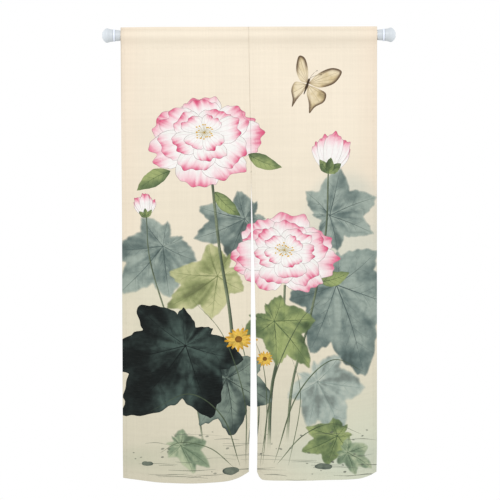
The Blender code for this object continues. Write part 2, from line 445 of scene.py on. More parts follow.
def wash(outline, tones, seed, cover, wet, soft=0.0, flow=None, over=None, thin=None):
    """A wet patch of ink: two tones that run into each other, a darker rim and, if soft, a fading edge.

    flow tells where its tones run, over changes its tone, and thin tells how much of it is left."""
    dark, light = tones[:2]
    outline = np.asarray(outline, float)

    def pooled(points):
        return cloud(points, POOL, seed) + 0.45 * cloud(points, POOL_GRAIN, seed + 5)

    def paint(points):
        away = distance_to(points, outline)
        run = (flow or pooled)(points)
        tone = mix(dark, light, smoothstep(-0.75, 0.75, run))
        tone = mix(tone, dark * 0.60, 0.6 * smoothstep(-0.40, -1.10, run))
        bloom = cloud(points, BLOOM, seed + 9, octaves=2) - 0.2
        tone = mix(tone, dark, 0.28 * hump(bloom, 0.10) * (bloom < 0.05))
        rim = hump(away, WET_RIM) * (0.6 + 0.4 * cloud(points, POOL, seed + 3))
        tone = mix(tone, dark * 0.82, np.clip(wet * rim, 0, 1))
        if over:
            tone = over(points, tone, away)
        left = smoothstep(-0.001, soft, away) if soft else 1.0
        return inked(points, tone, cover * left * (thin(points) if thin else 1.0))

    add_mark(outline, paint, fine=True, rows=WASH_ROWS)


def wobble(outline, amount, size, seed):
    """Moves an outline in and out, so that no edge is a plain curve."""
    return outline + outward_normals(outline) * (amount * cloud(outline, size, seed))[:, None]


def oval(centre, wide, tall, count, turn=0.0):
    phi = full_turn(count)
    return np.array(centre) + np.stack((wide * np.cos(phi), tall * np.sin(phi)), 1) @ turned_by(turn).T


def dot(centre, wide, tall, colour, cover, turn=0.0, count=9):
    add_mark(oval(centre, wide, tall, count, turn), lambda points: inked(points, colour, cover))


# ---- leaves and stems

# The leaves' dark tone, light tone and veins
INK = (rgb(16, 22, 22), rgb(72, 90, 84), rgb(12, 17, 17))
DUSK = (rgb(50, 64, 62), rgb(128, 144, 132), rgb(34, 44, 42))
SLATE = (rgb(84, 103, 101), rgb(156, 171, 162), rgb(68, 84, 82))
SAGE = (rgb(118, 140, 112), rgb(188, 199, 164), rgb(96, 116, 90))
MOSS = (rgb(92, 112, 74), rgb(160, 174, 112), rgb(68, 88, 58))
OLIVE = (rgb(142, 152, 98), rgb(204, 204, 152), rgb(112, 122, 76))
MIST = (rgb(156, 172, 165), rgb(206, 214, 201), rgb(136, 153, 146))
# The stems' dark and light tone, and the reeds' tone
BARK = (rgb(74, 88, 70), rgb(142, 152, 122))
REED = rgb(84, 98, 72)
STEM_FADES, STEM_STEP = 0.11, 0.016
REED_WIDTHS = (0.12, 1.0, 1.0, 0.9, 0.8, 0.6, 0.4, 0.12)

LOBES = (
    # degrees from the leaf's own line, reach, half spread in degrees
    (0, 1.00, 40),
    (50, 0.86, 38),
    (-52, 0.88, 38),
    (100, 0.66, 38),
    (-104, 0.64, 38),
    (148, 0.40, 32),
    (-150, 0.38, 32),
)
LOBE_CUT = 0.50
LOBE_POINTED = 0.92
LOBE_TURNS = 5
TOOTH = 0.016
# How wide the lobes spread where a leaf's length is 1, how far the leaf bends, the size of its pale
# heart and how strong its wet rim is
LOBES_WIDE = 1.66
LEAF_LEAN = 0.12
LEAF_HEART = 0.045
LEAF_WET = 0.4


def lobed_leaf(heart, tip, width, tones, seed, soft, cover, light):
    """A broad leaf of seven pointed lobes round the heart where its stalk joins."""
    heart = np.array(heart)
    axis = np.array(tip) - heart
    length = float(np.hypot(*axis))
    spin = turned_by(math.atan2(axis[1], axis[0]))
    squeeze = width / (LOBES_WIDE * length)
    rng = np.random.default_rng(seed)
    lobes = []
    for degrees, far, half in LOBES:
        turn = math.radians(degrees + rng.uniform(-LOBE_TURNS, LOBE_TURNS))
        lobes.append((turn, far * rng.uniform(0.92, 1.06), math.radians(half)))

    def place(angle, reach):
        x = reach * np.cos(angle) * length
        y = reach * np.sin(angle) * length * squeeze
        return heart + np.stack((x, y + LEAF_LEAN * x * x / length), -1) @ spin.T

    def flow(points):
        x, y = ((points - heart) @ spin).T
        y = (y - LEAF_LEAN * x**2 / length) / squeeze
        angle, reach = np.arctan2(y, x), np.hypot(x, y) / length
        rays = 0.65 * cloud(np.stack((angle * 1.1, reach * 0.35), 1), 0.30, seed)
        pools = 0.85 * cloud(points, length * 0.42, seed + 4)
        return rays + pools + 0.30 * cloud(points, 0.018, seed + 7) + 1.1 * hump(reach, LEAF_HEART) + light

    teeth = 37 if length > 0.15 else 23
    angle = np.linspace(-math.pi, math.pi, int(np.clip(length / 0.0012, 100, 220)))[:-1]
    reach = np.full(len(angle), 0.12)
    for ray, far, half in lobes:
        away = np.abs((angle - ray + math.pi) % TURN - math.pi)
        reach = np.maximum(reach, far * (1 - LOBE_CUT * (away / half) ** LOBE_POINTED))
    reach = reach * (1 + TOOTH * np.sin(angle * teeth + seed) * (1 + 0.6 * np.sin(angle * 11)))
    outline = wobble(place(angle, reach), length * 0.015, length * 0.22, seed)
    wash(outline, tones, seed, cover, LEAF_WET, soft, flow)
    for ray, far, half in lobes:
        start, end = max(0.0040 * far, 0.0014), 0.92 * far
        way = place(ray * np.array([0.85, 0.97, 1.0]), np.array([0.0, 0.5, 1.0]) * end)
        stroke(way, tones[2], seed, (start, start * 0.6, 0.0006), 0.70, 9)
        for k in range(1, int(5 * far) + 1):
            out = end * k / (5 * far + 1)
            for hand in (-1, 1):
                twig = ray + hand * half * (0.50 - 0.22 * k / 5)
                turns = np.array([ray, (ray + twig) / 2, twig])
                way = place(turns, np.array([out, out + 0.09, out + 0.20 * far]))
                if inside(way, outline).all():
                    stroke(way, tones[2], seed + k, *TWIG)


def lance_leaf(base, tip, width, seed, lean=0.0):
    """A slim pointed leaf with a midrib and paired side veins."""
    base = np.array(base)
    axis = np.array(tip) - base
    length = float(np.hypot(*axis))
    side = np.array([-axis[1], axis[0]]) / length

    def place(along, across):
        along, across = np.asarray(along, float), np.asarray(across, float)
        half = width / 2 * np.sin(math.pi * np.clip(along, 0, 1) ** 0.85) ** 0.9
        sideways = across * half + lean * length * along * (1 - along)
        return base + along[..., None] * axis + sideways[..., None] * side

    def flow(points):
        across = (points - base) @ side / (width / 2)
        return 0.8 * across + 0.8 * cloud(points, length * 0.35, seed)

    t = np.linspace(0, 1, 18)
    outline = np.vstack((place(t, 1), place(t[-2:0:-1], -1)))
    outline = wobble(outline, width * 0.035, length * 0.12, seed)
    wash(outline, MOSS, seed, cover=0.95, wet=0.35, flow=flow)
    stroke(place(np.linspace(0, 0.96, 6), 0), MOSS[2], seed, *MIDRIB)
    for k in range(1, 6):
        at = k / 6.5
        for hand in (-1, 1):
            vein = place([at, at + 0.10, min(at + 0.17, 0.97)], [0.0, hand * 0.45, hand * 0.86])
            stroke(vein, MOSS[2], seed + k, *SIDE_VEIN)


def stem(points, widths, seed):
    """A watery stem, darker along one side, that fades out at its foot."""
    count = int(line_length(points) / STEM_STEP)
    outline = brush_outline(points, widths, count)
    middle = through(points, count)
    side = perpendicular(middle)

    def flow(spots):
        nearest = np.linalg.norm(spots[:, None] - middle, axis=2).argmin(1)
        across = ((spots - middle[nearest]) * side[nearest]).sum(1) / (widths[1] / 2)
        return 0.8 * across + 0.7 * cloud(spots * (1, 0.3), 0.03, seed)

    def thin(spots):
        return smoothstep(middle[-1, 1], middle[-1, 1] - STEM_FADES, spots[:, 1])

    outline = wobble(outline, 0.0006, 0.02, seed)
    wash(outline, BARK, seed, cover=0.93, wet=0.35, flow=flow, thin=thin)


# ---- blossoms

PETAL = rgb(255, 253, 250)
BLUSH = rgb(250, 186, 200)
DEEP = rgb(222, 76, 118)
HOLLOW = rgb(214, 219, 204)
PETAL_LINE = rgb(162, 138, 142)
PETAL_VEIN_TONE = rgb(228, 178, 188)
GOLD = rgb(226, 178, 58)
# Where along a petal the blush and the deep tone start and are full
BLUSH_FROM = (0.58, 0.98)
DEEP_FROM = (0.80, 1.06)

PETAL_RINGS = (
    # petals, first angle, start, reach, width, notch, blush, lift
    (7, 0.25, 0.10, 1.00, 0.98, 0.07, 0.85, 0.00),
    (6, 0.72, 0.06, 0.81, 0.86, 0.09, 0.95, 0.06),
    (5, 0.10, 0.04, 0.62, 0.72, 0.10, 1.05, 0.11),
    (4, 0.85, 0.02, 0.42, 0.56, 0.12, 1.15, 0.15),
)
# A petal's count of points, between which of them its drawn rim runs, and how wide that is
RIM_FIRST, RIM_LAST, PETAL_POINTS = 5, 48, 53
RIM_WIDTH = 0.0013
TIP_FINER = 0.35
RUFFLES = (
    # height as a share of the petal's length, waves round it, how far its seed shifts them
    (0.030, 7, 1.0),
    (0.022, 13, 2.1),
)


class Flower:
    """A many-petalled blossom. Its petals are laid out round its centre, foreshortened and turned."""

    def __init__(self, centre, radius, tilt, turn):
        self.centre, self.radius, self.tilt = np.array(centre), radius, tilt
        self.turn = turned_by(turn)

    def place(self, points):
        return self.centre + (points * (1, self.tilt)) @ self.turn.T

    def unplace(self, points):
        return ((points - self.centre) @ self.turn) / (1, self.tilt)

    def petal(self, angle, start, reach, width, notch, blush, lift, seed, veins=5):
        """One ruffled petal from start to reach out from the centre."""
        spin = turned_by(angle)
        length = reach - start
        raised = np.array([0.0, -lift])
        phi = full_turn(PETAL_POINTS)
        phi = phi + TIP_FINER * np.sin(phi)
        along = (1 - np.cos(phi)) / 2
        across = np.sin(phi) * (0.34 + 0.66 * along**0.75)
        ruffle = sum(height * np.sin(waves * phi + shift * seed) for height, waves, shift in RUFFLES)
        along = along * (1 + ruffle * smoothstep(0.4, 0.9, along))
        along = along - notch * hump(across, 0.16) * smoothstep(0.5, 1, along)
        curl = 0.12 * math.sin(3.7 * seed)

        def local(along, across):
            x = start + along * length
            y = across * width / 2 + curl * width * along**2
            return self.place(np.stack((x, y), -1) @ spin.T + raised)

        outline = local(along, across)

        def paint(points):
            back = (self.unplace(points) - raised) @ spin
            a = (back[:, 0] - start) / length
            b = (back[:, 1] - curl * width * a * a) / (width / 2)
            streak = cloud(np.stack((a * 0.6, b * 3.0), 1), 0.35, seed)
            rise = a - 0.16 * b * b + 0.11 * streak
            tone = mix(PETAL, BLUSH, np.clip(smoothstep(*BLUSH_FROM, rise) * blush, 0, 1))
            tone = mix(tone, DEEP, np.clip(smoothstep(*DEEP_FROM, rise) * blush, 0, 1))
            tone = mix(tone, HOLLOW, smoothstep(0.45, 0.0, a) * 0.50)
            shaded = smoothstep(0.35, 1.0, b * (-1 if math.cos(angle) > 0 else 1))
            return inked(points, mix(tone, HOLLOW, shaded * 0.25), 0.99)

        add_mark(outline, paint, fine=True)
        for k in range(veins):
            spread = (k + 0.5) / veins * 2 - 1
            ways = np.linspace(0.22, 0.86 - 0.10 * spread**2, 5)
            bend = spread * 0.80 * np.sin(ways * math.pi * 0.62)
            stroke(local(ways, bend), PETAL_VEIN_TONE, seed + k, *PETAL_VEIN)
        rim = outline[RIM_FIRST:RIM_LAST]
        press = np.interp(np.linspace(0, 1, len(rim)), (0, 0.25, 0.5, 0.75, 1), (0.3, 1, 0.7, 1, 0.3))
        inner = rim - outward_normals(outline)[RIM_FIRST:RIM_LAST] * (RIM_WIDTH * press)[:, None]
        add_mark(np.vstack((rim, inner[::-1])), brush_paint(PETAL_LINE, 0.8, seed))

    def stamens(self, count, reach, lift, rng):
        middle = self.place(np.array([0.0, -lift]))
        for k in range(count):
            angle = TURN * k / count + rng.uniform(-0.15, 0.15)
            out = reach * rng.uniform(0.50, 1.0)
            tip = self.place(np.array([math.cos(angle) * out, math.sin(angle) * out - lift]))
            stroke([middle, tip], GOLD * 0.8, k, *STAMEN)
            dot(tip, 0.0032, 0.0024, GOLD, 0.95, count=7)


def blossom(centre, radius, tilt, turn, seed):
    """A full open blossom of four rings of petals and a heart of stamens."""
    flower = Flower(centre, radius, tilt, turn)
    rng = np.random.default_rng(seed)
    for count, first, start, reach, width, notch, blush, lift in PETAL_RINGS:
        order = sorted(range(count), key=lambda k: math.sin(first + TURN * k / count))
        for k in order:
            angle = first + TURN * k / count + rng.uniform(-0.14, 0.14)
            size = radius * rng.uniform(0.90, 1.08)
            sizes = (start * size, reach * size, width * size * rng.uniform(0.92, 1.08))
            cut = notch * rng.uniform(0.3, 1.4)
            flower.petal(angle, *sizes, cut, blush, lift * radius, seed + 10 * k + count)
    flower.stamens(22, radius * 0.19, PETAL_RINGS[-1][-1] * radius, rng)


BUD_PETALS = (
    # turn, reach, width, blush
    (-0.52, 0.80, 0.66, 0.8),
    (0.52, 0.80, 0.66, 0.8),
    (-0.26, 0.92, 0.74, 0.9),
    (0.26, 0.92, 0.74, 0.9),
    (0.02, 1.00, 0.80, 1.0),
)


def bud(base, tip, width, seed):
    """A half-open bud: petals that wrap each other, held by three green sepals."""
    base = np.array(base)
    axis = np.array(tip) - base
    angle, length = math.atan2(axis[1], axis[0]), float(np.hypot(*axis))
    flower = Flower(base, length, 1.0, 0.0)
    for k, (turn, reach, wide, blush) in enumerate(BUD_PETALS):
        sizes = (0.0, reach * length, wide * width)
        flower.petal(angle + turn, *sizes, 0.0, blush, 0.0, seed + 3 * k, veins=3)
    for turn in (-0.75, 0.75, 0.0):
        out = np.array([math.cos(angle + turn), math.sin(angle + turn)]) * length * 0.40
        lance_leaf(base, base + out, width * 0.28, seed)


DAISY_RINGS = (
    # petals, reach, tone
    (15, 1.00, rgb(224, 166, 44)),
    (13, 0.80, rgb(243, 202, 92)),
)
DAISY_FLAT = 0.86
DAISY_EYE = (rgb(118, 78, 30), rgb(168, 118, 46))


def daisy(centre, radius, seed):
    """A small golden blossom with many narrow petals round a brown eye."""
    centre = np.array(centre)
    rng = np.random.default_rng(seed)
    width = radius * 0.28
    for ring, (count, reach, tone) in enumerate(DAISY_RINGS):
        for k in range(count):
            angle = TURN * (k + 0.5 * ring) / count + rng.uniform(-0.08, 0.08)
            way = np.array([math.cos(angle), math.sin(angle) * DAISY_FLAT])
            out = way * radius * reach * rng.uniform(0.9, 1.05)
            petal = [centre, centre + out * 0.6, centre + out]
            stroke(petal, tone, seed + k, (width * 0.4, width, width * 0.35), 0.97, 7)
            stroke([centre + out * 0.3, centre + out * 0.92], tone * 0.75, k, *CREASE)
    eye = oval(centre, radius * 0.27, radius * 0.27 * DAISY_FLAT, 16)
    wash(eye, DAISY_EYE, seed, cover=0.97, wet=0.5)


# ---- butterfly

BROWN = rgb(84, 64, 46)
WING_TONES = (rgb(212, 190, 142), rgb(242, 227, 194))
# Outlines to the right of the body, in shares of the size
LOW_WING = (
    (0.02, 0.06),
    (0.38, 0.06),
    (0.72, 0.12),
    (0.76, 0.42),
    (0.52, 0.70),
    (0.40, 0.98),
    (0.28, 0.66),
    (0.08, 0.36),
)
HIGH_WING = (
    (0.02, 0.00),
    (0.22, -0.42),
    (0.60, -0.78),
    (0.98, -0.80),
    (0.96, -0.48),
    (0.78, -0.20),
    (0.40, 0.02),
)
WINGS = (
    # outline, how wide its brown rim is
    (LOW_WING, 0.009),
    (HIGH_WING, 0.011),
)
# How wide the far wings look next to the near ones
FAR_WING = 0.62
# The points of a wing's outline that its veins run to
WING_VEINS = (5, 10, 14, 18, 22, 27)


def butterfly(centre, size, turn):
    """A pale butterfly with brown-edged wings, seen half from the side."""
    centre = np.array(centre)
    spin = turned_by(turn)

    def place(points, hand=1):
        reach = 1.0 if hand > 0 else -FAR_WING
        return centre + (np.asarray(points, float) * size * (reach, 1.0)) @ spin.T

    for hand in (-1, 1):
        for corners, rim in WINGS:
            outline = place(through([*corners, corners[0]], 34)[:-1], hand)

            def edge(points, tone, away, rim=rim):
                out = np.hypot(*(points - centre).T) / size
                brown = smoothstep(rim, rim * 0.25, away) * smoothstep(0.35, 0.75, out)
                return mix(tone, BROWN, brown * 0.9)

            wash(outline, WING_TONES, 31, cover=0.92, wet=0.3, over=edge)
            root = place([corners[0]], hand)[0]
            for k in WING_VEINS:
                end = root + (outline[k] - root) * 0.90
                stroke([root, end], BROWN * 1.4, k, *WING_VEIN)
    head, tail = place([(0.0, -0.16), (0.0, 0.42)])
    stroke([head, (head + tail) / 2, tail], BROWN * 0.8, 5, *BODY)
    for feeler in place([(0.16, -0.52), (0.34, -0.44)]):
        bend = (head + feeler) / 2 + (0, -0.004)
        stroke([head, bend, feeler], BROWN * 0.8, 7, *FEELER)
        dot(feeler, 0.0018, 0.0018, BROWN * 0.8, 0.9)


# ---- the whole print

# Places on the canvas are across from the seam and down from the rod
STEMS = (
    # from the blossom down, then the stem's width at its start, middle and end
    (((-0.135, 0.42), (-0.105, 0.70), (-0.062, 1.00), (-0.072, 1.33)), (0.0085, 0.0105, 0.0120)),
    (((0.105, 0.83), (0.092, 1.00), (0.052, 1.18), (0.040, 1.385)), (0.0085, 0.0110, 0.0125)),
    (((0.262, 0.455), (0.25, 0.66), (0.196, 0.92), (0.128, 1.15), (0.104, 1.36)), (0.0055, 0.0080, 0.0100)),
    (((-0.345, 0.6), (-0.33, 0.76), (-0.255, 1.0), (-0.185, 1.2), (-0.15, 1.38)), (0.0035, 0.0055, 0.0070)),
    (((-0.030, 1.02), (0.0, 1.15), (0.006, 1.26), (-0.010, 1.395)), (0.0032, 0.0045, 0.0050)),
)
REEDS = (
    # foot to tip of an arching blade, widest width
    (((0.060, 1.420), (0.140, 1.200), (0.265, 1.080), (0.385, 1.120)), 0.0048),
    (((0.010, 1.430), (0.060, 1.150), (0.150, 0.960), (0.230, 0.880)), 0.0042),
    (((-0.030, 1.430), (-0.090, 1.270), (-0.200, 1.190), (-0.330, 1.245)), 0.0042),
    (((-0.010, 1.425), (-0.020, 1.210), (-0.090, 1.000), (-0.190, 0.880)), 0.0038),
    (((0.070, 1.425), (0.160, 1.330), (0.265, 1.290), (0.370, 1.325)), 0.0036),
    (((-0.050, 1.435), (-0.130, 1.370), (-0.230, 1.350), (-0.300, 1.385)), 0.0032),
    (((0.020, 1.425), (0.035, 1.230), (0.020, 1.080), (-0.030, 0.960)), 0.0036),
    (((0.110, 1.430), (0.150, 1.250), (0.150, 1.150), (0.120, 1.060)), 0.0030),
)
LEAVES_BEHIND = (
    # heart, tip, width, tones, seed, soft edge, cover, lightness
    ((0.285, 0.830), (0.430, 1.120), 0.470, SLATE, 21, 0.006, 0.93, 0.00),
    ((0.265, 0.600), (0.430, 0.520), 0.300, SLATE, 22, 0.006, 0.88, 0.30),
    ((0.215, 1.150), (0.330, 1.320), 0.330, MIST, 23, 0.010, 0.90, -0.10),
    ((-0.290, 0.700), (-0.430, 0.880), 0.320, SLATE, 24, 0.008, 0.90, 0.25),
    ((-0.020, 0.610), (-0.190, 0.700), 0.260, SLATE, 26, 0.006, 0.90, 0.05),
    ((-0.110, 0.800), (-0.290, 0.930), 0.270, OLIVE, 25, 0.005, 0.93, 0.00),
)
LEAVES_IN_FRONT = (
    # the same columns
    ((-0.080, 1.140), (-0.020, 1.340), 0.310, DUSK, 46, 0.0, 0.95, 0.05),
    ((-0.215, 1.030), (-0.360, 1.290), 0.520, INK, 41, 0.0, 0.98, -0.20),
    ((0.065, 0.950), (0.215, 1.085), 0.240, MOSS, 42, 0.004, 0.95, 0.00),
    ((-0.230, 1.360), (-0.110, 1.425), 0.150, SAGE, 43, 0.006, 0.90, 0.00),
    ((0.285, 1.330), (0.150, 1.395), 0.170, MOSS, 44, 0.004, 0.95, -0.15),
    ((0.320, 1.385), (0.420, 1.430), 0.130, SAGE, 45, 0.006, 0.92, 0.00),
)
SPRAYS = (
    # foot, tip and width of the slim leaves under the blossoms
    ((-0.010, 0.395), (0.105, 0.440), 0.048),
    ((-0.265, 0.450), (-0.375, 0.515), 0.055),
    ((-0.120, 0.520), (-0.035, 0.600), 0.046),
    ((0.225, 0.820), (0.330, 0.790), 0.048),
)
STONES = (
    # across, down, half width, half height
    (-0.060, 1.446, 0.028, 0.013),
    (0.235, 1.430, 0.032, 0.011),
    (-0.340, 1.420, 0.020, 0.008),
)
STONE_TONES = (rgb(62, 72, 66), rgb(110, 120, 106))
BLOSSOMS = (
    # centre, radius, tilt, turn, seed
    ((-0.150, 0.345), 0.190, 0.78, -0.12, 3),
    ((0.105, 0.735), 0.185, 0.74, 0.10, 8),
)
BUDS = (
    # base, tip, width, seed
    ((0.262, 0.460), (0.285, 0.325), 0.105, 5),
    ((-0.345, 0.605), (-0.356, 0.525), 0.055, 9),
)
DAISIES = (
    # centre, radius, seed
    ((-0.040, 1.010), 0.046, 5),
    ((0.030, 1.075), 0.030, 6),
)
HAZES = (
    # across, down, half width, half height, tone, cover
    (0.250, 1.390, 0.210, 0.095, rgb(180, 194, 180), 0.28),
    (-0.240, 1.395, 0.230, 0.085, rgb(190, 196, 170), 0.40),
    (0.330, 0.690, 0.190, 0.260, rgb(188, 202, 194), 0.40),
    (-0.300, 0.870, 0.200, 0.200, rgb(204, 210, 184), 0.40),
)
HAZE_FADES = 0.070


def haze(across, down, wide, tall, tone, cover, seed):
    """A pale wash that has run out on the wet cloth, without an edge."""
    outline = wobble(oval((across, down), wide, tall, 48), 0.012, 0.12, seed)

    def paint(points):
        fade = smoothstep(0, HAZE_FADES, distance_to(points, outline))
        uneven = 0.80 + 0.35 * cloud(points, 0.10, seed)
        return inked(points, tone, (cover * fade * uneven).clip(0, 1))

    add_mark(outline, paint)


SHORE_LINES, SPECKS = 34, 40


def paint_shore():
    """Level brush lines, specks and stones along the foot of the print."""
    rng = np.random.default_rng(12)
    for k in range(SHORE_LINES):
        x, y = rng.uniform(-0.40, 0.36), 1.405 + 0.07 * rng.uniform(-1.2, 1)
        reach, lift = rng.uniform(0.05, 0.17), rng.uniform(-0.004, 0.004)
        ink = mix(rgb(132, 134, 118), rgb(96, 102, 92), rng.uniform())
        way = [(x, y), (x + reach / 2, y + lift), (x + reach, y - lift)]
        stroke(way, ink, k, (0.0008, rng.uniform(0.0014, 0.0030), 0.0006), rng.uniform(0.50, 0.90))
    for k in range(SPECKS):
        x, y, size = rng.uniform(-0.40, 0.40), rng.uniform(1.31, 1.465), rng.uniform(0.0016, 0.0042)
        cover, turn = rng.uniform(0.4, 0.8), rng.uniform(-0.3, 0.3)
        dot((x, y), size * 1.5, size * 0.8, rgb(98, 102, 92), cover, turn)
    for x, y, wide, tall in STONES:
        stone = wobble(oval((x, y), wide, tall, 28), 0.002, 0.02, 9)
        wash(stone, STONE_TONES, 60, cover=0.92, wet=0.4)


def paint_print():
    """A made-up garden of blossoms, leaves and a butterfly, from the back to the front."""
    for k, row in enumerate(HAZES):
        haze(*row, 90 + k)
    for row in LEAVES_BEHIND:
        lobed_leaf(*row)
    for k, (way, widths) in enumerate(STEMS):
        stem(way, widths, 70 + k)
    for row in LEAVES_IN_FRONT:
        lobed_leaf(*row)
    for way, width in REEDS:
        stroke(way, REED, 6, width * np.array(REED_WIDTHS), 0.85)
    blossom(*BLOSSOMS[0])
    for foot, tip, width in SPRAYS:
        lance_leaf(foot, tip, width, 51, lean=0.2)
    blossom(*BLOSSOMS[1])
    for row in BUDS:
        bud(*row)
    for row in DAISIES:
        daisy(*row)
    butterfly((0.195, 0.160), size=0.095, turn=0.35)
    paint_shore()


def ground(points):
    """The cloth's cream ground: darker towards the bottom, greenish at the lower right, yellower at its
    sides.
    """
    x, y = points[:, 0], points[:, 1]
    tone = mix(rgb(250, 238, 218), rgb(242, 232, 210), smoothstep(0.1, 0.9, y))
    tone = mix(tone, rgb(222, 216, 194), smoothstep(0.8, 1.48, y))
    tone = mix(tone, rgb(219, 226, 204), smoothstep(-0.1, 0.45, x) * smoothstep(1.0, 1.48, y) * 0.85)
    aside = smoothstep(0.33, 0.42, np.abs(x)) * smoothstep(1.2, 0.7, y)
    tone = mix(tone, tone * rgb(255, 252, 251), aside)
    return tone * (1 + 0.012 * cloud(points, 0.16, 2))[:, None]


def print_at(points):
    """The print's tone at any point of the canvas."""
    tones = ground(points)
    for mark in marks:
        touched = within(points, mark.outline)
        if len(touched):
            paint = mark.paint(points[touched])
            tones[touched] = mix(tones[touched], paint[:, :3], paint[:, 3])
    return np.clip(tones, 0, 1)


# ---- the cloth's surface


def fold_turn():
    """A half turn of the cloth at a fold, as (outwards, onwards) points."""
    turn = np.linspace(0, math.pi, FOLD_STEPS + 1)
    return PITCH / 2 * np.stack((np.cos(turn), np.sin(turn)), 1)


def curve(start, leave, arrive, end, steps):
    """Points on a smooth curve that leaves its start and reaches its end along its two pulls."""
    t = np.linspace(0, 1, steps + 1)[:, None]
    shares = ((1 - t) ** 3, 3 * t * (1 - t) ** 2, 3 * t * t * (1 - t), t**3)
    return sum(share * np.array(at) for share, at in zip(shares, (start, leave, arrive, end)))


# Where the pocket's curves pull to, below the rod's middle, and above where the cloth leaves the rod
POCKET_PULLS = (0.022, 0.015)
HEADING_PULLS = (0.007, 0.0025)


def pocket_side():
    """One side of the pocket, from below its stitch up round the rod to the heading: (outwards, below)."""
    around, half = ROD_RADIUS + CLEARANCE + ON_ROD, PITCH / 2
    first, last = (half, POCKET_STITCH + POCKET_EASE), (around, 0.0)
    lower = curve(first, (half, POCKET_PULLS[0]), (around + SWELL, POCKET_PULLS[1]), last, POCKET_STEPS)
    angle = np.linspace(0, TOUCHES_ROD, ARC_STEPS + 1)[1:]
    arc = around * np.stack((np.cos(angle), -np.sin(angle)), 1)
    leave = arc[-1] - HEADING_PULLS[0] * np.array([math.sin(TOUCHES_ROD), math.cos(TOUCHES_ROD)])
    arrive = (half, HEADING_PULLS[1] - HEADING_STITCH)
    upper = curve(arc[-1], leave, arrive, (half, -HEADING_STITCH), POCKET_STEPS)
    return np.vstack((lower, arc, upper[1:], [(half, half - HEADING_TOP)]))


def cloth_way():
    """The cloth's section from the bottom hem's raw edge to the pocket's, as (behind, below) points."""
    half, side, turn = PITCH / 2, pocket_side(), fold_turn()
    hem = np.vstack(([(half, HEM_TOP)], turn + (0, DROP - half)))
    top = turn[-2:0:-1] * (1, -1) + (0, half - HEADING_TOP)
    return np.vstack((hem, side * (-1, 1), top, side[::-1], [(half, POCKET_EDGE)]))


WAY = cloth_way()
SHEET_FOOT = FOLD_STEPS + 1
reached = np.concatenate(([0], np.cumsum(np.linalg.norm(np.diff(WAY, axis=0), axis=1))))
# A place on the way is told by how far below the rod it is on the front sheet, and counts on along
# the cloth past both ends of that
WAY_AT = WAY[SHEET_FOOT, 1] - (reached - reached[SHEET_FOOT])
WAY_LOW, WAY_HIGH = float(WAY_AT[-1]), float(WAY_AT[0])
# The heading's stitch line on the front sheet and on the back one
FRONT_HEADING, BACK_HEADING = WAY_AT[np.flatnonzero(np.isclose(WAY[:, 1], -HEADING_STITCH))[[0, -1]]]


def gathered(at, length, seed):
    """An uneven wave along a line, with crests about that far apart."""
    return np.sin(at / length * TURN + 2.2 * along_line(at, length * 4, seed))


def in_heading(below):
    """0 up to the heading's stitch line, and from there to 1 at its top."""
    return np.clip((-HEADING_STITCH - below) / (HEADING_TOP - HEADING_STITCH), 0, 1)


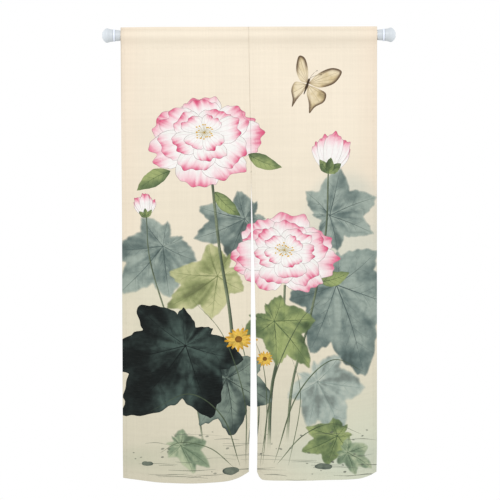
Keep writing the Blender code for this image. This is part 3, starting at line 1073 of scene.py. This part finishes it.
class Panel:
    """One cloth of the pair. across runs from its left edge in metres, and way as WAY_AT does."""

    def __init__(self, side):
        self.side = side
        self.left = side == "left"
        left, right = self.edges(np.array([-HEADING_TOP]))
        self.width = float(right[0] - left[0])
        self.canvas_from = np.array([-self.width if self.left else 0.0, 0.0])
        self.box = np.array([(0.0, WAY_LOW), (self.width, WAY_HIGH)])

    def risen(self, across, below):
        """How far the cloth's foot draws up towards its corners."""
        settled = np.clip((below - POCKET_STITCH) / (LEVEL_FROM - POCKET_STITCH), 0, 1) ** 3
        return settled * from_table(across / self.width, RISES[self.side])

    def on_canvas(self, flat):
        """The canvas places of places on the flat cloth. The print stays level where the foot draws up."""
        across, way = flat[:, 0], flat[:, 1]
        return np.stack((across + self.canvas_from[0], way - self.risen(across, way)), 1)

    def on_cloth(self, canvas):
        """The places on the flat cloth of places on the canvas."""
        across, way = canvas[:, 0] - self.canvas_from[0], canvas[:, 1]
        for _ in range(4):
            way = canvas[:, 1] + self.risen(across, way)
        return np.stack((across, way), 1)

    def ring(self, outline):
        """A mark's outline on the flat cloth, with closer points near its low edges, where it bends."""
        across = outline[:, 0] - self.canvas_from[0]
        points = []
        for k, at in enumerate(outline):
            after, start, end = outline[k + 1 - len(outline)], across[k], across[k + 1 - len(outline)]
            shares = [0.0]
            if at[1] > BENDS_BELOW and min(abs(start), abs(self.width - start)) < BENDS_WITHIN:
                count = int(math.dist(at, after) / BEND_STEP) + 1
                shares = [j / count for j in range(count)]
                crossed = [side for side in (0.0, self.width) if (start - side) * (end - side) < 0]
                shares += [(side - start) / (end - start) for side in crossed]
            points += [at + (after - at) * share for share in sorted(shares)]
        return self.on_cloth(np.array(points))

    def edges(self, below):
        """Where the panel's left and right edges hang."""
        inner = from_table(below, EDGES, INNER_LEFT)
        if self.left:
            return from_table(below, EDGES, OUTER_LEFT), inner + SEAM_CLOSES
        return inner + from_table(below, EDGES, SLIT) - SEAM_CLOSES, from_table(below, EDGES, OUTER_RIGHT)

    def x_at(self, share, below):
        left, right = self.edges(below)
        return left + share * (right - left)

    def depth(self, share, below):
        """How far the hanging cloth bows and curls, behind the rod's line if positive."""
        bow, ripple, ripples, start, *curls = HANGING[self.side]
        fallen = np.clip((below - POCKET_STITCH) / (DROP - POCKET_STITCH), 0.0, 1.0)
        depth = -bow * fallen**BOW_GROWS * (1 - (2 * share - 1) ** 2)
        wave = np.sin(TURN * ripples * share + start)
        depth = depth + ripple * fallen * np.sin(math.pi * share) * wave
        for corner, curl in zip((0.0, 1.0), curls):
            bottom = DROP - from_table(corner, RISES[self.side])
            aside = self.x_at(share, below) - self.x_at(corner, below)
            away = np.hypot(aside, bottom - below)
            depth = depth + curl * np.clip(1 - away / CURL_REACH, 0, 1) ** 2
        return depth + self.unevenness(share, below, fallen)

    def unevenness(self, share, below, fallen):
        """Soft folds all over, puckers along the stitch lines and a wave in the heading's top."""
        x = share * self.width + (0.0 if self.left else RIGHT_NOISE)
        total = np.zeros_like(x)
        loose = (0.15 + 0.85 * fallen) * np.clip((below - 0.05) / 0.06, 0, 1)
        for height, size in SOFT_FOLDS:
            total += height * loose * cloud(np.stack((x, below), 1), size, 3, octaves=1)
        for line, height, reach, length in PUCKERS:
            total += height * gathered(x, length, 5) * hump(below - line, reach)
        height, reach, length = SIDE_PUCKER
        wave = height * gathered(below, length, 6)
        for edge in (SIDE_HEM, self.width - SIDE_HEM):
            near = hump(share * self.width - edge, reach) * np.clip((below - 0.03) / 0.05, 0, 1)
            total += wave * near
        return total + HEADING_WAVE * in_heading(below) * along_line(x, 0.045, 8)

    def rolled(self, across, below):
        """How far the folded side edges turn back, most along the seam."""
        seam = smoothstep(SEAM_END + 0.02, SEAM_END - 0.01, below)
        total = 0.0
        for away, at_seam in ((across, not self.left), (self.width - across, self.left)):
            radius = EDGE_ROUND + (SEAM_ROUND - EDGE_ROUND) * seam * at_seam
            short = np.clip(radius - away, 0, 0.94 * radius)
            total = total + radius - np.sqrt(radius**2 - short**2)
        return total

    def surface(self, across, way):
        """Where the middle of the cloth is."""
        share = across / self.width
        behind, below = (np.interp(way, WAY_AT[::-1], WAY[::-1, k]) for k in (0, 1))
        below = below - self.risen(across, below)
        from_end = self.x_at(share, below * 0 - HEADING_TOP) - EDGES[0][OUTER_LEFT]
        sag = np.clip(1 - from_end / HEADING_SAG_REACH, 0, 1) ** 2
        below = below + HEADING_SAG * sag * in_heading(below)
        y = behind + self.depth(share, below) + self.rolled(across, below)
        return np.stack((self.x_at(share, below), y, -below), 1)

    def faces_of(self, across, way):
        """The printed face and the wrong face of the cloth at each point."""
        e = 0.0001
        middle = self.surface(across, way)
        along = self.surface(across + e, way) - self.surface(across - e, way)
        down = self.surface(across, way - e) - self.surface(across, way + e)
        normals = np.cross(along, down)
        normals[:, 0] = 0.0
        normals /= np.linalg.norm(normals, axis=1, keepdims=True)
        hem = np.minimum(across, self.width - across)
        on_sheet = (way < HEM_TOP - 0.004) & (way > POCKET_EDGE + 0.003)
        extra = SIDE_HEM_EXTRA * smoothstep(SIDE_HEM + 0.0003, SIDE_HEM - 0.0003, hem) * on_sheet
        return middle + normals * CLOTH / 2, middle - normals * (CLOTH / 2 + extra)[:, None]

    def painted_shade(self, spots):
        """Painted shade: how dark the cloth is painted where its hems lie behind it, in the seam's crease
        and on its left fold.
        """
        across, below = spots[:, 0], spots[:, 1]
        hem = np.minimum(across, self.width - across)
        side = smoothstep(SIDE_HEM + 0.0004, SIDE_HEM - 0.0004, hem)
        foot = smoothstep(HEM_TOP - 0.001, HEM_TOP + 0.001, below)
        from_seam = self.width - across if self.left else across
        seam = smoothstep(SEAM_END, SEAM_END - 0.01, below)
        side = side * (1 - seam * (from_seam < SIDE_HEM * 2))
        crease = hump(from_seam, CREASE_REACH) * seam
        shade = 1 - HEM_SHADE * side - FOOT_SHADE * foot - CREASE_SHADE * crease
        if self.left:
            fold = hump(across, FOLD_REACH) * smoothstep(FOLD_SHADE_ENDS, 0.15, below)
            shade = shade - FOLD_SHADE * fold
        return shade


# ---- panels


# Meshes have sharp edges where their faces meet at more than this
CLOTH_SHARP, TURNED_SHARP = math.radians(55), math.radians(50)
# On its wrong side the print is this much nearer to the bare cloth, and its tone and ink weaker
WRONG_BARE, WRONG_TONE, WRONG_INK = 0.72, 0.985, 0.25
# No mesh point lies nearer to the cut cloth's rim than this, apart from those on it
RIM_CLEAR = 0.0002


def sheet_points(panel):
    """Mesh points that the cloth's own shape needs, and the rows that its triangles mustn't cross."""
    width = panel.width
    rows = (
        np.arange(POCKET_STITCH + ROWS_CLEAR, DROP - ROWS_CLEAR, ROW_STEP),
        WAY_AT,
        HEM_TOP + STITCH_ROWS * np.arange(-3, 10),
        POCKET_STITCH + STITCH_ROWS * np.arange(-2, 9),
        np.arange(DROP, WAY_HIGH, HEM_ROWS),
    )
    rows = np.unique(np.round(np.concatenate(rows), 6))
    rows = rows[(rows > WAY_LOW) & (rows < WAY_HIGH)]
    near_hem = np.array(ROLL_COLUMNS + HEM_COLUMNS)
    columns = np.concatenate((np.linspace(0, width, COLUMNS + 1), near_hem, width - near_hem))
    fine = np.arange(0.002, width, PUCKER_STEP)
    lines = [line + PUCKER_STEP * k for line in (POCKET_STITCH, HEM_TOP) for k in range(-3, 4)]
    near_corner = [across for c in CORNER_COLUMNS for across in (c, width - c)]
    between = (np.arange(COLUMNS) + 0.5) * width / COLUMNS
    grids = (
        pairs(columns, rows),
        pairs(fine, lines),
        pairs(near_corner, rows[rows > HEM_TOP]),
        pairs(between, rows[np.abs(rows - DROP) < FOOT_ROWS]),
    )
    return np.vstack(grids), rows


def mark_points(panel, used):
    """A finer grid of mesh points under the marks whose tones change inside them, and their edge rows."""
    xs = np.arange(MARK_STEP, panel.width, MARK_STEP)
    ys = np.arange(POCKET_STITCH + ROWS_CLEAR, DROP - ROWS_CLEAR, MARK_STEP * 0.87)
    grid = pairs(xs, ys)
    grid.reshape(len(ys), len(xs), 2)[::2, :, 0] += MARK_STEP / 2
    kept = np.zeros(len(grid), bool)
    for mark, ring in used:
        if mark.fine:
            kept[within(grid, ring)] = True
    return np.vstack([grid[kept]] + [panel.on_cloth(mark.row_points()) for mark, _ in used if mark.rows])


def cut_flat(panel, used):
    """Cuts the flat cloth into triangles along its folds, its hems and the edges of its marks."""
    (left, low), (right, high) = panel.box
    points, rows = sheet_points(panel)
    points = np.vstack((points, mark_points(panel, used)))
    clear = ((points > panel.box[0] + RIM_CLEAR) & (points < panel.box[1] - RIM_CLEAR)).all(1)
    ends = pairs((left, right), rows)
    flat = [np.array([(left, low), (right, low), (right, high), (left, high)]), ends, points[clear]]
    lines = [(0, 1), (1, 2), (2, 3), (3, 0)]
    for k, row in enumerate(rows):
        if row > WAY_AT[SHEET_FOOT] - 0.0005 or row < POCKET_STITCH:
            lines.append((4 + 2 * k, 5 + 2 * k))
    count = sum(len(part) for part in flat)
    for from_edge in (ROLL_COLUMNS[-1], *HEM_COLUMNS):
        for across in (from_edge, right - from_edge):
            flat.append(np.array([(across, low), (across, high)]))
            lines.append((count, count + 1))
            count += 2
    for _, ring in used:
        corners = np.arange(len(ring)) + count
        flat.append(ring)
        lines += list(zip(corners.tolist(), np.roll(corners, -1).tolist()))
        count += len(ring)
    found = delaunay_2d_cdt([Vector(p) for p in np.vstack(flat)], lines, [], 0, 1e-6, False)
    spots = np.array([(p.x, p.y) for p in found[0]])
    tris = np.array([tri for tri in found[2] if len(tri) == 3])
    middles = spots[tris].mean(1)
    tris = tris[((middles > panel.box[0]) & (middles < panel.box[1])).all(1)]
    kept, tris = np.unique(tris, return_inverse=True)
    spots, tris = spots[kept], tris.reshape(-1, 3)
    a, b, c = (spots[tris[:, k]] for k in range(3))
    area = (b[:, 0] - a[:, 0]) * (c[:, 1] - a[:, 1]) - (b[:, 1] - a[:, 1]) * (c[:, 0] - a[:, 0])
    tris[area < 0] = tris[area < 0][:, ::-1]
    return spots, tris


def corner_colours(canvas, flat, tris, used):
    """Lays the marks over the ground in the order in which they were painted."""
    bare = ground(canvas)[tris]
    colours = bare.copy()
    middles = flat[tris].mean(1)
    for mark, ring in used:
        touched = within(middles, ring)
        if len(touched):
            corners = tris[touched]
            spots, back = np.unique(corners, return_inverse=True)
            paint = mark.paint(canvas[spots])[back.reshape(corners.shape)]
            colours[touched] = colours[touched] * (1 - paint[..., 3:]) + paint[..., :3] * paint[..., 3:]
    return np.clip(colours, 0, 1), bare


def build_panel(panel, finish):
    """Folds the cut cloth, gives it thickness and colours both its faces."""
    used = [(mark, panel.ring(mark.outline)) for mark in marks]
    used = [(mark, ring) for mark, ring in used if touches(ring, panel.box)]
    spots, tris = cut_flat(panel, used)
    canvas = panel.on_canvas(spots)
    colours, bare = corner_colours(canvas, spots, tris, used)
    ink = np.clip(np.abs(colours - bare).sum(2) * 1.6, 0, 1)
    front, back = panel.faces_of(spots[:, 0], spots[:, 1])
    total = len(spots)
    edges = np.vstack((tris[:, (0, 1)], tris[:, (1, 2)], tris[:, (2, 0)]))
    keys = np.sort(edges, 1)
    keys = keys[:, 0].astype(np.int64) * total + keys[:, 1]
    _, first, times = np.unique(keys, return_index=True, return_counts=True)
    rim = edges[first[times == 1]]
    rim = np.stack((rim[:, 1], rim[:, 0], rim[:, 0] + total, rim[:, 1] + total), 1)
    faces = tris.tolist() + (tris[:, ::-1] + total).tolist() + rim.tolist()
    mesh = make_mesh(f"{panel.side}_cloth", np.vstack((front, back)), faces, finish)

    # The painted shade of the hems, the seam's crease and the left fold darkens the printed face
    colours = colours * panel.painted_shade(spots)[tris][..., None]
    wrong = mix(colours, bare, WRONG_BARE) * WRONG_TONE
    parts = (colours, wrong[:, ::-1], ground(canvas)[rim % total])
    shown = linear(np.concatenate([part.reshape(-1, 3) for part in parts])) * REFLECTS
    inks = np.concatenate((ink.ravel(), WRONG_INK * ink[:, ::-1].ravel(), np.zeros(rim.size)))
    add_colours(mesh, "print", "CORNER", np.column_stack((shown, inks)))
    flat = np.concatenate((tris.ravel(), tris[:, ::-1].ravel(), rim.ravel() % total))
    uv = mesh.uv_layers.new(name="cloth_flat")
    uv.data.foreach_set("uv", spots[flat].astype(np.float32).ravel())
    mesh.shade_smooth()
    mesh.set_sharp_from_angle(angle=CLOTH_SHARP)
    return show(mesh)


def touches(outline, box):
    return (outline.max(0) > box[0]).all() and (outline.min(0) < box[1]).all()


# ---- sewing

# A thread's radius and its sides, and a stitch's length and the step to the next
THREAD, THREAD_SIDES = 0.00020, 5
STITCH, STITCH_STEP = 0.0026, 0.0036
# How far the stitch rows stay from the cloth's rim and from a side hem's raw edge
ROW_ENDS, IN_SIDE_HEM = 0.0012, 0.0015
SEWN_TONE = rgb(232, 222, 202)
PRINTED_THREAD_PALER = 0.12
# How far the turned edges of the seam stand out behind, and its threads' reach and slant
SEAM_RIDGE = 0.0015
SEAM_REACH, SEAM_SLANT = 0.0024, 0.0016
SEAM_STEP, BAR_STEP = 0.0060, 0.0006
THREAD_STATIONS = (
    # place along the stitch, thickness, lift in thread radii
    (-0.50, 0.30, -0.9),
    (-0.30, 1.00, 0.45),
    (0.30, 1.00, 0.45),
    (0.50, 0.30, -0.9),
)


def thread_mesh(name, paths, outward, tones, radius, finish):
    """Short threads in one mesh. paths holds each one's stations, and outward which way is out there."""
    count, stations = paths.shape[:2]
    along = np.gradient(paths, axis=1)
    along /= np.linalg.norm(along, axis=2, keepdims=True) + 1e-12
    side = np.cross(outward, along)
    side /= np.linalg.norm(side, axis=2, keepdims=True) + 1e-12
    thick = radius * np.array([row[1] for row in THREAD_STATIONS])[None, :, None]
    lift = radius * np.array([row[2] for row in THREAD_STATIONS])[None, :, None]
    rings = []
    for k in range(THREAD_SIDES):
        turn = TURN * k / THREAD_SIDES
        rings.append(paths + outward * (lift + thick * math.cos(turn)) + side * thick * math.sin(turn))
    points = np.stack(rings, 2).reshape(-1, 3)
    first = (np.arange(count) * stations * THREAD_SIDES)[:, None]
    faces = []
    for station in range(stations - 1):
        for k in range(THREAD_SIDES):
            a, b = station * THREAD_SIDES + k, station * THREAD_SIDES + (k + 1) % THREAD_SIDES
            faces.append(first + [[a, a + THREAD_SIDES, b + THREAD_SIDES, b]])
    quads = np.concatenate(faces).tolist()
    start = (first + np.arange(THREAD_SIDES)).tolist()
    end = (first + (stations * THREAD_SIDES - 1 - np.arange(THREAD_SIDES))).tolist()
    mesh = make_mesh(name, points, quads + start + end, finish)
    colours = np.repeat(linear(np.asarray(tones)), stations * THREAD_SIDES, axis=0) * REFLECTS
    add_colours(mesh, "thread_tone", "POINT", np.column_stack((colours, np.ones(len(colours)))))
    mesh.shade_smooth()
    return show(mesh)


def stitch_rows(panel):
    """Each row of stitches: its start and end as (across, way), and 1 if it shows on the printed face."""
    low, high, edge = ROW_ENDS, panel.width - ROW_ENDS, SIDE_HEM - IN_SIDE_HEM
    behind_pocket = WAY_LOW + POCKET_EDGE - POCKET_STITCH
    ways = (POCKET_STITCH, behind_pocket, FRONT_HEADING, BACK_HEADING, HEM_LINE, WAY_HIGH - IN_HEM)
    rows = [((low, way), (high, way), 1) for way in ways]
    for across in (edge, panel.width - edge):
        rows.append(((across, POCKET_STITCH + 0.003), (across, HEM_LINE - 0.003), 1))
        rows.append(((across, POCKET_EDGE + 0.005), (across, HEM_TOP - 0.006), -1))
    return rows


def sew(panel, thread):
    """All the stitch rows of a panel. The print runs over the threads on its face."""
    paths, outward, tones = [], [], []
    for start, end, face in stitch_rows(panel):
        start, end = np.array(start), np.array(end)
        length = float(np.hypot(*(end - start)))
        onward = (end - start) / length
        middles = start + onward * np.arange(STITCH_STEP / 2, length, STITCH_STEP)[:, None]
        places = np.stack([middles + onward * STITCH * row[0] for row in THREAD_STATIONS], 1)
        printed, wrong = panel.faces_of(places[..., 0].ravel(), places[..., 1].ravel())
        out = (printed - wrong) * face
        out /= np.linalg.norm(out, axis=1, keepdims=True)
        paths.append((printed if face > 0 else wrong).reshape(-1, len(THREAD_STATIONS), 3))
        outward.append(out.reshape(-1, len(THREAD_STATIONS), 3))
        plain = np.tile(SEWN_TONE, (len(middles), 1))
        printed_tones = mix(print_at(panel.on_canvas(middles)), plain, PRINTED_THREAD_PALER)
        tones.append(printed_tones if face > 0 else plain)
    threads = [np.concatenate(part) for part in (paths, outward, tones)]
    return thread_mesh(f"{panel.side}_stitches", *threads, THREAD, thread)


def sew_seam(left, right, thread):
    """Slanted threads behind the seam, and a bar of close ones on both faces where the slit starts."""
    down_seam = np.arange(POCKET_EDGE + 0.006, SEAM_END - 0.006, SEAM_STEP)
    rows = [(way, SEAM_SLANT, -1) for way in down_seam]
    rows += [(SEAM_END - 0.003 + BAR_STEP * k, 0.0, face) for k in range(8) for face in (-1, 1)]
    share = np.array([row[0] + 0.5 for row in THREAD_STATIONS])[:, None]
    paths, outward = [], []
    for way, slant, face in rows:
        ends = []
        for panel, across, shift in ((left, left.width - SEAM_REACH, -slant), (right, SEAM_REACH, slant)):
            printed, wrong = panel.faces_of(np.array([across]), np.array([way + shift]))
            ends.append((printed if face > 0 else wrong)[0])
        over_ridge = (share > 0) * (share < 1) * (face < 0) * np.array([0.0, SEAM_RIDGE, 0.0])
        paths.append(ends[0] * (1 - share) + ends[1] * share + over_ridge)
        outward.append(np.tile((0.0, -face, 0.0), (len(THREAD_STATIONS), 1)))
    tones = np.tile(SEWN_TONE, (len(rows), 1))
    return thread_mesh("seam_stitches", np.array(paths), np.array(outward), tones, THREAD * 1.4, thread)


# ---- the rod's ends

TURNED_SIDES = 96
FOOT_OUTLINE = (
    # from the wall, radius
    (0.0000, 0.0090),
    (0.0015, 0.0122),
    (0.0045, 0.0165),
    (0.0075, 0.0199),
    (0.0110, 0.0228),
    (0.0140, 0.0240),
    (0.0165, 0.0241),
    (0.0190, 0.0236),
    (0.0230, 0.0222),
    (0.0290, 0.0209),
    (0.0355, 0.0202),
)
# Painted light on the foot: its plastic is painted paler towards the pad, where it looks lit
FOOT_PAINTED_LIGHT = (
    # from the wall, share of the plastic's tone: painted light that pales it towards the pad
    (0.0000, 1.32),
    (0.0060, 1.24),
    (0.0140, 1.06),
    (0.0240, 0.99),
    (0.0600, 0.95),
)
# Where the ring's groove starts and ends, from the wall, and the radius of its floor
GROOVE = (0.0358, 0.0430, 0.0172)
COLLAR_OUTLINE = (
    # from the wall, radius
    (0.0433, 0.0188),
    (0.0560, 0.0178),
    (0.0597, 0.0174),
)


def eased(points, radius):
    """Rounds each inner corner of a section by a short arc."""
    points = np.array(points, float)
    made = [points[0]]
    for before, at, after in zip(points, points[1:], points[2:]):
        back, on = before - at, after - at
        cut = min(radius, 0.4 * np.linalg.norm(back), 0.4 * np.linalg.norm(on))
        start, end = at + back / np.linalg.norm(back) * cut, at + on / np.linalg.norm(on) * cut
        made += [start * (1 - t) ** 2 + 2 * at * t * (1 - t) + end * t * t for t in (0.0, 0.33, 0.67, 1.0)]
    return made + [points[-1]]


def turned(name, outline, finish, ring=False):
    """A piece turned about the rod's line from (along, radius) points. A ring's outline is a loop."""
    angle = full_turn(TURNED_SIDES)
    flip = name.startswith("right")
    points, circles, painted_light = [], [], []
    for along, radius in outline:
        at = angle if radius > 0 else angle[:1]
        circles.append(np.arange(len(at)) + len(points))
        # Each circle's share of the foot's painted light
        painted_light += [float(from_table(along, FOOT_PAINTED_LIGHT))] * len(at)
        x = ROD_SPAN - along if flip else along
        points += np.stack((np.full(len(at), x), radius * np.cos(at), radius * np.sin(at)), 1).tolist()
    faces = []
    for one, other in zip(circles, circles[1:] + (circles[:1] if ring else [])):
        for k in range(TURNED_SIDES):
            around = ((one, k), (one, k + 1), (other, k + 1), (other, k))
            corners = list(dict.fromkeys(int(circle[at % len(circle)]) for circle, at in around))
            faces.append(corners[::-1] if flip else corners)
    mesh = make_mesh(name, points, faces, finish)
    add_colours(mesh, "foot_painted_light", "POINT", np.repeat(painted_light, 4))
    mesh.shade_smooth()
    mesh.set_sharp_from_angle(angle=TURNED_SHARP)
    return show(mesh)


def build_end(side, plastic, bright):
    """A foot with its groove, collar and socket, and the ring in that groove."""
    along = np.linspace(FOOT_OUTLINE[0][0], FOOT_OUTLINE[-1][0], 40)
    bell = np.stack((along, from_table(along, FOOT_OUTLINE)), 1).tolist()
    low, high, floor = GROOVE
    collar, socket = COLLAR_OUTLINE[-1][0], ROD_RADIUS + CLEARANCE
    rest = [(low, floor), (high, floor), *COLLAR_OUTLINE, (collar, socket), (collar - SOCKET_DEPTH, socket)]
    shell = [(0.0, 0.0)] + bell[:-1] + eased([bell[-2], bell[-1], *rest], 0.0007)[1:]
    foot = turned(f"{side}_foot_shell", shell + [(collar - SOCKET_DEPTH, 0.0)], plastic)
    low, high, inner = low + CLEARANCE, high - CLEARANCE, floor + CLEARANCE
    shoulder, top = RING_RADIUS - 0.0003, RING_RADIUS + 0.0002
    crown = [(low, inner), (low, shoulder), ((low + high) / 2, top), (high, shoulder), (high, inner)]
    band = turned(f"{side}_ring_band", eased(crown, 0.0012), bright, ring=True)
    return foot, band


# ---- finishes


def fill(node, inputs):
    """Gives a node's inputs a number, a colour of the screen or another node's output."""
    for name, value in inputs.items():
        if isinstance(value, bpy.types.NodeSocket):
            node.id_data.links.new(value, node.inputs[name])
        elif isinstance(value, np.ndarray):
            node.inputs[name].default_value = (*linear(value), 1.0)
        else:
            node.inputs[name].default_value = value


def new_material(name, inputs):
    made = bpy.data.materials.new(name)
    made.use_nodes = True
    shader = made.node_tree.nodes["Principled BSDF"]
    fill(shader, inputs)
    return made, made.node_tree, shader


def add_node(tree, kind, inputs, **settings):
    """Adds a shader node, and gives its outputs."""
    made = tree.nodes.new(f"ShaderNode{kind}")
    for name, value in settings.items():
        setattr(made, name, value)
    fill(made, inputs)
    return made.outputs


# How strongly long warp and weft streaks and single threads change the cloth's tone, and ink its own
LONG_WARP, LONG_WEFT, THREADS, GRANULES = 0.09, 0.09, 0.06, 0.42
THREADS_UNDER_INK = 0.05
CLOTH_SHADER = {
    "Base Color": rgb(245, 235, 215),
    "Roughness": 0.92,
    "Sheen Weight": 0.03,
    "Sheen Roughness": 0.6,
    "Specular IOR Level": 0.08,
}


def cloth_material():
    """Slub linen with its print: threads both ways, thicker runs, and ink that grains on the threads."""
    made, tree, shader = new_material("printed_linen", CLOTH_SHADER)
    printed = add_node(tree, "Attribute", {}, attribute_name="print")
    flat = add_node(tree, "UVMap", {}, uv_map="cloth_flat")["UV"]

    def threads(across, down, detail=2.0):
        """Noise with that many features a metre each way."""
        stretched = add_node(tree, "Mapping", {"Vector": flat, "Scale": (across, down, 1.0)})["Vector"]
        return add_node(tree, "TexNoise", {"Vector": stretched, "Scale": 1.0, "Detail": detail})["Fac"]

    def bands(direction):
        inputs = {"Vector": flat, "Scale": 170.0, "Distortion": 1.2, "Detail": 1.0}
        return add_node(tree, "TexWave", inputs, wave_type="BANDS", bands_direction=direction)["Fac"]

    def joined(operation, value, *others):
        for other in others:
            value = add_node(tree, "Math", {0: value, 1: other}, operation=operation)[0]
        return value

    def product(*values):
        return joined("MULTIPLY", *values)

    def total(*values):
        return joined("ADD", *values)

    ink = printed["Alpha"]
    weft, warp = threads(30.0, 800.0, 3.0), threads(800.0, 45.0, 3.0)
    long_weft, long_warp = threads(3.0, 90.0), threads(200.0, 2.5)
    grain, blots = threads(900.0, 1100.0), threads(85.0, 85.0, 6.0)

    slub = product(joined("POWER", weft, 3.0), 3.0)
    height = total(product(bands("X"), bands("Y"), 0.45), total(slub, warp))
    bare = product(slub, grain, ink, THREADS_UNDER_INK)
    tones = {"Factor": bare, "A": printed["Color"], "B": rgb(168, 180, 174)}
    base = add_node(tree, "Mix", tones, data_type="RGBA", blend_type="MIX")["Result"]
    streaks = total(product(long_warp, LONG_WARP), product(long_weft, LONG_WEFT))
    single = product(total(weft, warp), THREADS)
    granules = product(total(blots, -0.5), GRANULES, ink)
    shade = total(streaks, single, 1 - LONG_WARP / 2 - LONG_WEFT / 2 - THREADS, granules)
    shaded = add_node(tree, "VectorMath", {0: base, "Scale": shade}, operation="SCALE")[0]
    bump = add_node(tree, "Bump", {"Height": height, "Strength": 0.35, "Distance": 0.0004})
    fill(shader, {"Base Color": shaded, "Normal": bump["Normal"]})
    return made


FINE_SURFACES = {
    # colour, roughness, grain (features a metre), its height, spread of tone, colour layer that tints it
    "thread": (rgb(250, 250, 250), 0.85, 2500.0, 0.0002, 0.03, "thread_tone"),
    # The satin plastic is tinted by the foot's painted light
    "satin_plastic": (rgb(188, 194, 199), 0.42, 900.0, 0.00006, 0.012, "foot_painted_light"),
    "bright_plastic": (rgb(214, 220, 232), 0.30, 900.0, 0.00003, 0.008, ""),
    "white_enamel": (rgb(226, 228, 230), 0.30, 300.0, 0.00005, 0.01, ""),
    "floor": (rgb(236, 236, 234), 0.8, 200.0, 0.0002, 0.01, ""),
}


def fine_surface(name):
    """A plain finish with a faint grain and a slight change of tone."""
    colour, roughness, grain, height, spread, layer = FINE_SURFACES[name]
    made, tree, shader = new_material(name, {"Base Color": colour, "Roughness": roughness})
    where = add_node(tree, "TexCoord", {})["Object"]
    small = add_node(tree, "TexNoise", {"Vector": where, "Scale": grain, "Detail": 3.0})["Fac"]
    large = add_node(tree, "TexNoise", {"Vector": where, "Scale": 35.0})["Fac"]
    tones = {"Factor": large, "A": colour * (1 - spread), "B": np.minimum(colour * (1 + spread), 1)}
    shown = add_node(tree, "Mix", tones, data_type="RGBA")["Result"]
    if layer:
        tint = add_node(tree, "Attribute", {}, attribute_name=layer)["Color"]
        shown = add_node(tree, "VectorMath", {0: shown, 1: tint}, operation="MULTIPLY")[0]
    bump = add_node(tree, "Bump", {"Height": small, "Strength": 0.3, "Distance": height})
    fill(shader, {"Base Color": shown, "Normal": bump["Normal"]})
    return made


# ---- the room

FLOOR_BELOW = 0.42
FLOOR_REACH = 2.4
# What the camera sees across at the rod, from how far, and the middle of that
VIEW_WIDTH = 1.6613
VIEW_DISTANCE = 7.0
VIEW_CENTRE = (0.4888, -0.7137)
VIEW_ROLL = math.radians(0.15)
KEY_PLACE = (0.2, -4.6, 1.75)
KEY_POWER = 100.0


def add_room(low):
    """A pale floor well below the curtain, soft light from the front and above, and a long-lens camera."""
    scene = bpy.context.scene
    scene.view_settings.view_transform = "Standard"
    scene.view_settings.look = "None"
    reach, level = FLOOR_REACH, low.z - FLOOR_BELOW
    corners = [(x * reach, y * reach, level) for x, y in ((-1, -1), (1, -1), (1, 1), (-1, 1))]
    show(make_mesh("floor", corners, [(0, 1, 2, 3)], fine_surface("floor")))

    scene.world = bpy.data.worlds.new("studio")
    scene.world.use_nodes = True
    sky = scene.world.node_tree.nodes["Background"]
    sky.inputs["Color"].default_value = (1.0, 1.0, 1.0, 1.0)
    sky.inputs["Strength"].default_value = 1.0

    key = bpy.data.lights.new("key", "AREA")
    key.shape, key.size, key.energy = "SQUARE", 2.0, KEY_POWER
    lamp = bpy.data.objects.new("key", key)
    lamp.location = KEY_PLACE
    aim = Vector((VIEW_CENTRE[0], 0.0, VIEW_CENTRE[1])) - lamp.location
    lamp.rotation_euler = aim.to_track_quat("-Z", "Y").to_euler()
    scene.collection.objects.link(lamp)

    view = bpy.data.cameras.new("camera")
    view.lens = view.sensor_width * VIEW_DISTANCE / VIEW_WIDTH
    camera = bpy.data.objects.new("camera", view)
    camera.location = (VIEW_CENTRE[0], -VIEW_DISTANCE, VIEW_CENTRE[1])
    camera.rotation_euler = (math.pi / 2, VIEW_ROLL, 0.0)
    scene.collection.objects.link(camera)
    scene.camera = camera


# ---- put together


def place(obj, slot, *nodes):
    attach(obj, "root")
    if nodes:
        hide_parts(*nodes)


paint_print()
linen = cloth_material()
thread = fine_surface("thread")
plastic, bright = fine_surface("satin_plastic"), fine_surface("bright_plastic")

panels, cloths, sewn = {}, {}, {}
for side in ("left", "right"):
    panels[side] = Panel(side)
    cloths[side] = build_panel(panels[side], linen)
    sewn[side] = sew(panels[side], thread)
seam = sew_seam(panels["left"], panels["right"], thread)
place(seam, "cloth")
for side, panel in panels.items():
    place(cloths[side], "cloth", f"{side}_panel")
    place(sewn[side], "cloth")
    foot, band = build_end(side, plastic, bright)
    place(foot, "foot", f"{side}_foot")
    place(band, "ring", f"{side}_ring")

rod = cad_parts["rod"]
rod.data.materials.clear()
rod.data.materials.append(fine_surface("white_enamel"))

add_room(cad_low)
